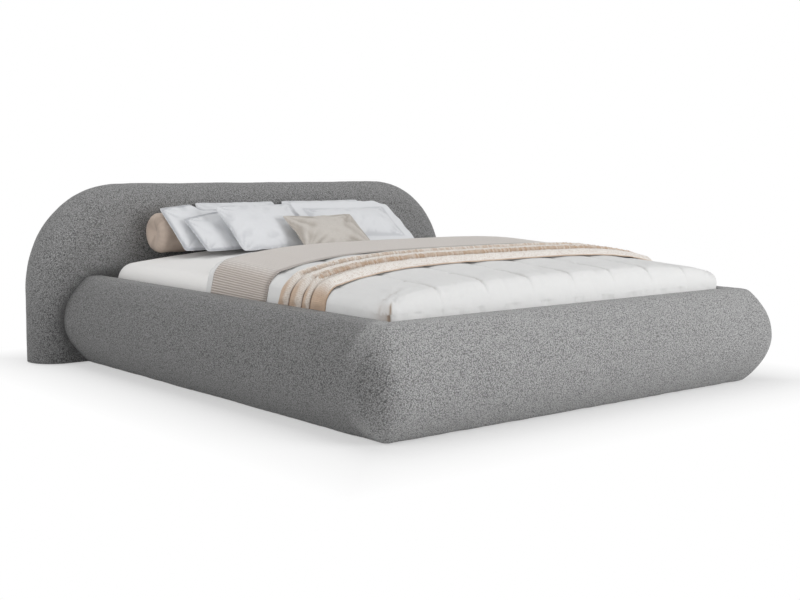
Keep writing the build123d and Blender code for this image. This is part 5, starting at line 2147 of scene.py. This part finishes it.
@dataclass(frozen=True)
class Bolster:
    """The linen bolster, gathered at both ends."""

    sizes: BolsterSizes = BolsterSizes()

    def profile(self) -> Array:
        """Sets out its outline.

        Returns:
            Place along the axis and radius, from one mouth to the other.
        """
        s = self.sizes
        half = s.length / 2
        face = s.radius - s.end_round
        inside = s.mouth_depth - half
        left = [(inside, 0.0), (inside, s.mouth * 0.5)]
        left += [(inside - s.mouth_depth * softly(np.array(t)), s.mouth + (face - s.mouth) * t)
                 for t in np.linspace(0, 1, 9)]
        left += [(-half + s.end_round * (1 - cos(a)), face + s.end_round * sin(a))
                 for a in np.linspace(0, pi / 2, 11)[1:]]
        body = [(x, s.radius) for x in np.linspace(-half + s.end_round, half - s.end_round, 30)[1:-1]]
        return np.array(left + body + [(-x, r) for x, r in reversed(left)])

    def build(self) -> None:
        """Makes the bolster."""
        s = self.sizes
        profile = self.profile()
        angle = np.linspace(0, 2 * pi, 156, endpoint=False)[None, :]
        along, radius = profile[:, :1], profile[:, 1:]
        end = pinch(np.maximum(abs(along) - s.length / 2 + s.end_round, 0) - s.end_round, 0.030)
        wave = 0.5 + 0.5 * np.cos(s.pleats * angle + np.sin(angle * 3))
        gather = wave * end * np.minimum(radius / s.radius, 1)
        ring = stacked(along * 0.8, np.cos(angle) * 0.09, np.sin(angle) * 0.09)
        folds = np.clip(ripple(ring, 0.07, 71, (1.2, 0.6, 0.6)), 0, 1) * 0.0022 * (radius > s.mouth)
        reach = radius - gather * 0.0020 - folds
        reach = np.where(radius > 0, np.maximum(reach, 0.0005), 0)
        points = stacked(along, reach * np.cos(angle), reach * np.sin(angle)) + np.array(s.middle)
        # Painted shade in the gathers and the folds.
        dark = gather * 0.12 + softly(folds / 0.002) * 0.30
        mesh = Mesh()
        mesh.grid(points, cloth=stacked(along, angle * s.radius), ring=True, marks={"crease": dark})
        made = mesh.piece("bolster_case", Cloth.BOLSTER.material())
        settle(made, "bolster_cloth", "bolster")


PILLOWS = (
    PillowSizes("back_left_pillow", 0.470, 0.335, 0.084, -0.2106, 0.7375, 38, 1, square=8.0),
    PillowSizes("back_right_pillow", 0.509, 0.335, 0.084, 0.3042, 0.7375, 38, 2, square=8.0),
    PillowSizes("outer_layer_pillow", 0.560, 0.330, 0.038, -0.4104, 0.6415, 38, 3, pressure=1.5,
                hem=0.95, top=((-1.0, -0.085), (-0.38, 0.0), (-0.22, -0.12), (1.0, -0.12))),
    PillowSizes("inner_layer_pillow", 0.560, 0.260, 0.036, -0.3492, 0.5535, 33, 4, pressure=1.5,
                hem=0.95, top=((-1.0, -0.02), (-0.30, 0.20), (1.0, 0.16))),
    PillowSizes("plump_pillow", 0.425, 0.320, 0.080, -0.2916, 0.4555, 37, 5, square=10.0,
                top=((-1.0, 0.0), (-0.6, 0.05), (1.0, 0.05))),
    PillowSizes("side_pillow", 0.599, 0.330, 0.096, 0.3006, 0.5605, 37, 6, flange=0.050),
    PillowSizes("accent_pillow", 0.400, 0.265, 0.080, -0.045, 0.3255, 36, 7, wrinkle=1.5, square=16.0,
                fan=0.075, cloth=Cloth.ACCENT, slot="accent_cloth"),
)


# Materials of the CAD nodes that stay

@dataclass(frozen=True)
class Hardware:
    """Gives each CAD node that stays the finish of its slot."""

    frame: dict

    finishes = dict(foam=Cloth.FOAM, board=Cloth.BOARD, ledger_timber=Cloth.LEDGER, slat_wood=Cloth.SLAT,
                    black_plastic=Cloth.PLASTIC, dark_steel=Cloth.DARK_STEEL, zinc_steel=Cloth.ZINC,
                    upholstery=Cloth.UPHOLSTERY, backing_cloth=Cloth.BACKING)

    def dress(self) -> None:
        """Assigns the materials by each node's slot in the record."""
        for part in self.frame["record"]["subparts"]:
            finish = self.finishes.get(part["material_slot"])
            node = self.frame["nodes"].get(part["node"])
            if finish is None or node is None:
                continue
            for slot in node.material_slots:
                slot.material = finish.material()


# Floor, lights and camera

@dataclass(frozen=True)
class View:
    """Where the camera stands and how it is turned, in metres and degrees."""

    place: Triple = (-3.543, -4.2735, 0.9348)
    yaw: float = 39.83
    pitch: float = 6.42
    roll: float = -0.3148
    lens: float = 56.745
    sensor: float = 36.0

    def matrix(self) -> Matrix:
        """Returns the camera's place and turn as one matrix."""
        yaw, pitch, roll = (radians(angle) for angle in (self.yaw, self.pitch, self.roll))
        turn = Matrix.Rotation(-yaw, 4, "Z") @ Matrix.Rotation(pi / 2 - pitch, 4, "X")
        return Matrix.Translation(self.place) @ turn @ Matrix.Rotation(-roll, 4, "Z")


@dataclass(frozen=True)
class Lamp:
    """A soft square light that is aimed at the bed."""

    name: str
    place: Triple
    size: float
    power: float
    target: Triple = (0.0, -0.2, 0.35)

    def build(self) -> None:
        """Makes the light."""
        data = bpy.data.lights.new(self.name, "AREA")
        data.shape = "SQUARE"
        data.size = self.size
        data.energy = self.power
        turn = (Vector(self.target) - Vector(self.place)).to_track_quat("-Z", "Y").to_matrix().to_4x4()
        linked(self.name, data).matrix_world = Matrix.Translation(self.place) @ turn


class Studio:
    """Pale floor, white surroundings, soft lights and the camera."""

    view = View()
    footprint = (1.05, 1.15)
    shadow_reach = (0.0, 0.45)
    floor_reach = 40.0
    daylight = 0.32
    lamps = (
        Lamp("key", (3.0, -8.0, 2.7), 4.4, 430.0),
        Lamp("top", (-0.5, 1.0, 4.4), 3.6, 56.0),
        Lamp("fill", (-5.2, -0.9, 2.0), 3.6, 88.0),
    )

    def build(self) -> None:
        """Makes all of it."""
        self.floor()
        self.world()
        for lamp in self.lamps:
            lamp.build()
        data = bpy.data.cameras.new("camera")
        data.lens = self.view.lens
        data.sensor_width = self.view.sensor
        camera = linked("camera", data)
        camera.matrix_world = self.view.matrix()
        bpy.context.scene.camera = camera
        bpy.context.scene.view_settings.view_transform = "Standard"

    def floor(self) -> None:
        """Makes the floor, almost white with a faint unevenness."""
        line = np.linspace(-self.floor_reach, self.floor_reach, 9)
        mesh = Mesh()
        mesh.grid(stacked(line[:, None], line[None, :], 0.0))
        mesh.piece("floor", self.floor_finish())

    def floor_finish(self) -> Material:
        """Draws the floor: lit near the bed, where the shadow lies, and white further out.

        Returns:
            Its material.
        """
        shade = Shade("floor_finish")
        where = shade.place()
        cloud = shade.noise(where, 0.8, 2.0)
        color = shade.blend(cloud * 0.3, tinted(WHITE, 0.90), tinted(WHITE, 0.88))
        lit = shade.node("ShaderNodeBsdfPrincipled",
                         inputs={"Base Color": color, "Roughness": 0.9 + cloud * 0.05})
        white = shade.node("ShaderNodeEmission", inputs={"Color": tinted(WHITE), "Strength": 1.0})
        parts = shade.node("ShaderNodeSeparateXYZ", inputs={0: where})
        across = shade.maths("ABSOLUTE", parts) - self.footprint[0]
        along = shade.maths("ABSOLUTE", parts.other(1)) - self.footprint[1]
        far = shade.spread(shade.maths("MAXIMUM", across, along), *self.shadow_reach)
        seen = shade.node("ShaderNodeLightPath", output="Is Camera Ray")
        share = (far * 0.55 + 0.45) * seen
        return shade.closed(shade.node("ShaderNodeMixShader", inputs={0: share, 1: lit, 2: white}))

    def world(self) -> None:
        """Makes the surroundings: white for the camera and for reflections, softer as a light."""
        world = bpy.data.worlds.new("studio")
        bpy.context.scene.world = world
        world.use_nodes = True
        tree = Tree(world.node_tree)
        tree.tree.nodes.clear()
        seen = tree.node("ShaderNodeLightPath", output="Is Camera Ray")
        clear = tree.maths("MAXIMUM", seen, seen.other("Is Glossy Ray"))
        clear = tree.maths("MAXIMUM", clear, seen.other("Is Transmission Ray"))
        light, white = (tree.node("ShaderNodeBackground", inputs={"Color": tinted(WHITE), "Strength": power})
                        for power in (self.daylight, 1.0))
        mixed = tree.node("ShaderNodeMixShader", inputs={0: clear, 1: light, 2: white})
        tree.end("ShaderNodeOutputWorld", mixed)


def main() -> None:
    """Builds the bed piece by piece and logs how many faces each piece has."""
    logging.basicConfig(level=logging.INFO, format="%(name)s: %(message)s")
    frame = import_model()
    Studio().build()
    log.info("studio")
    Hardware(frame).dress()
    log.info("hardware")
    Rails().build()
    Headboard().build()
    mattress = Mattress()
    mattress.build()
    duvet = Duvet(DuvetSizes(), mattress)
    duvet.build()
    Blanket(duvet.crown).build()
    Throw(duvet.crown).build()
    for sizes in PILLOWS:
        Pillow(sizes).build()
    Bolster().build()


if __name__ == "__main__":
    main()
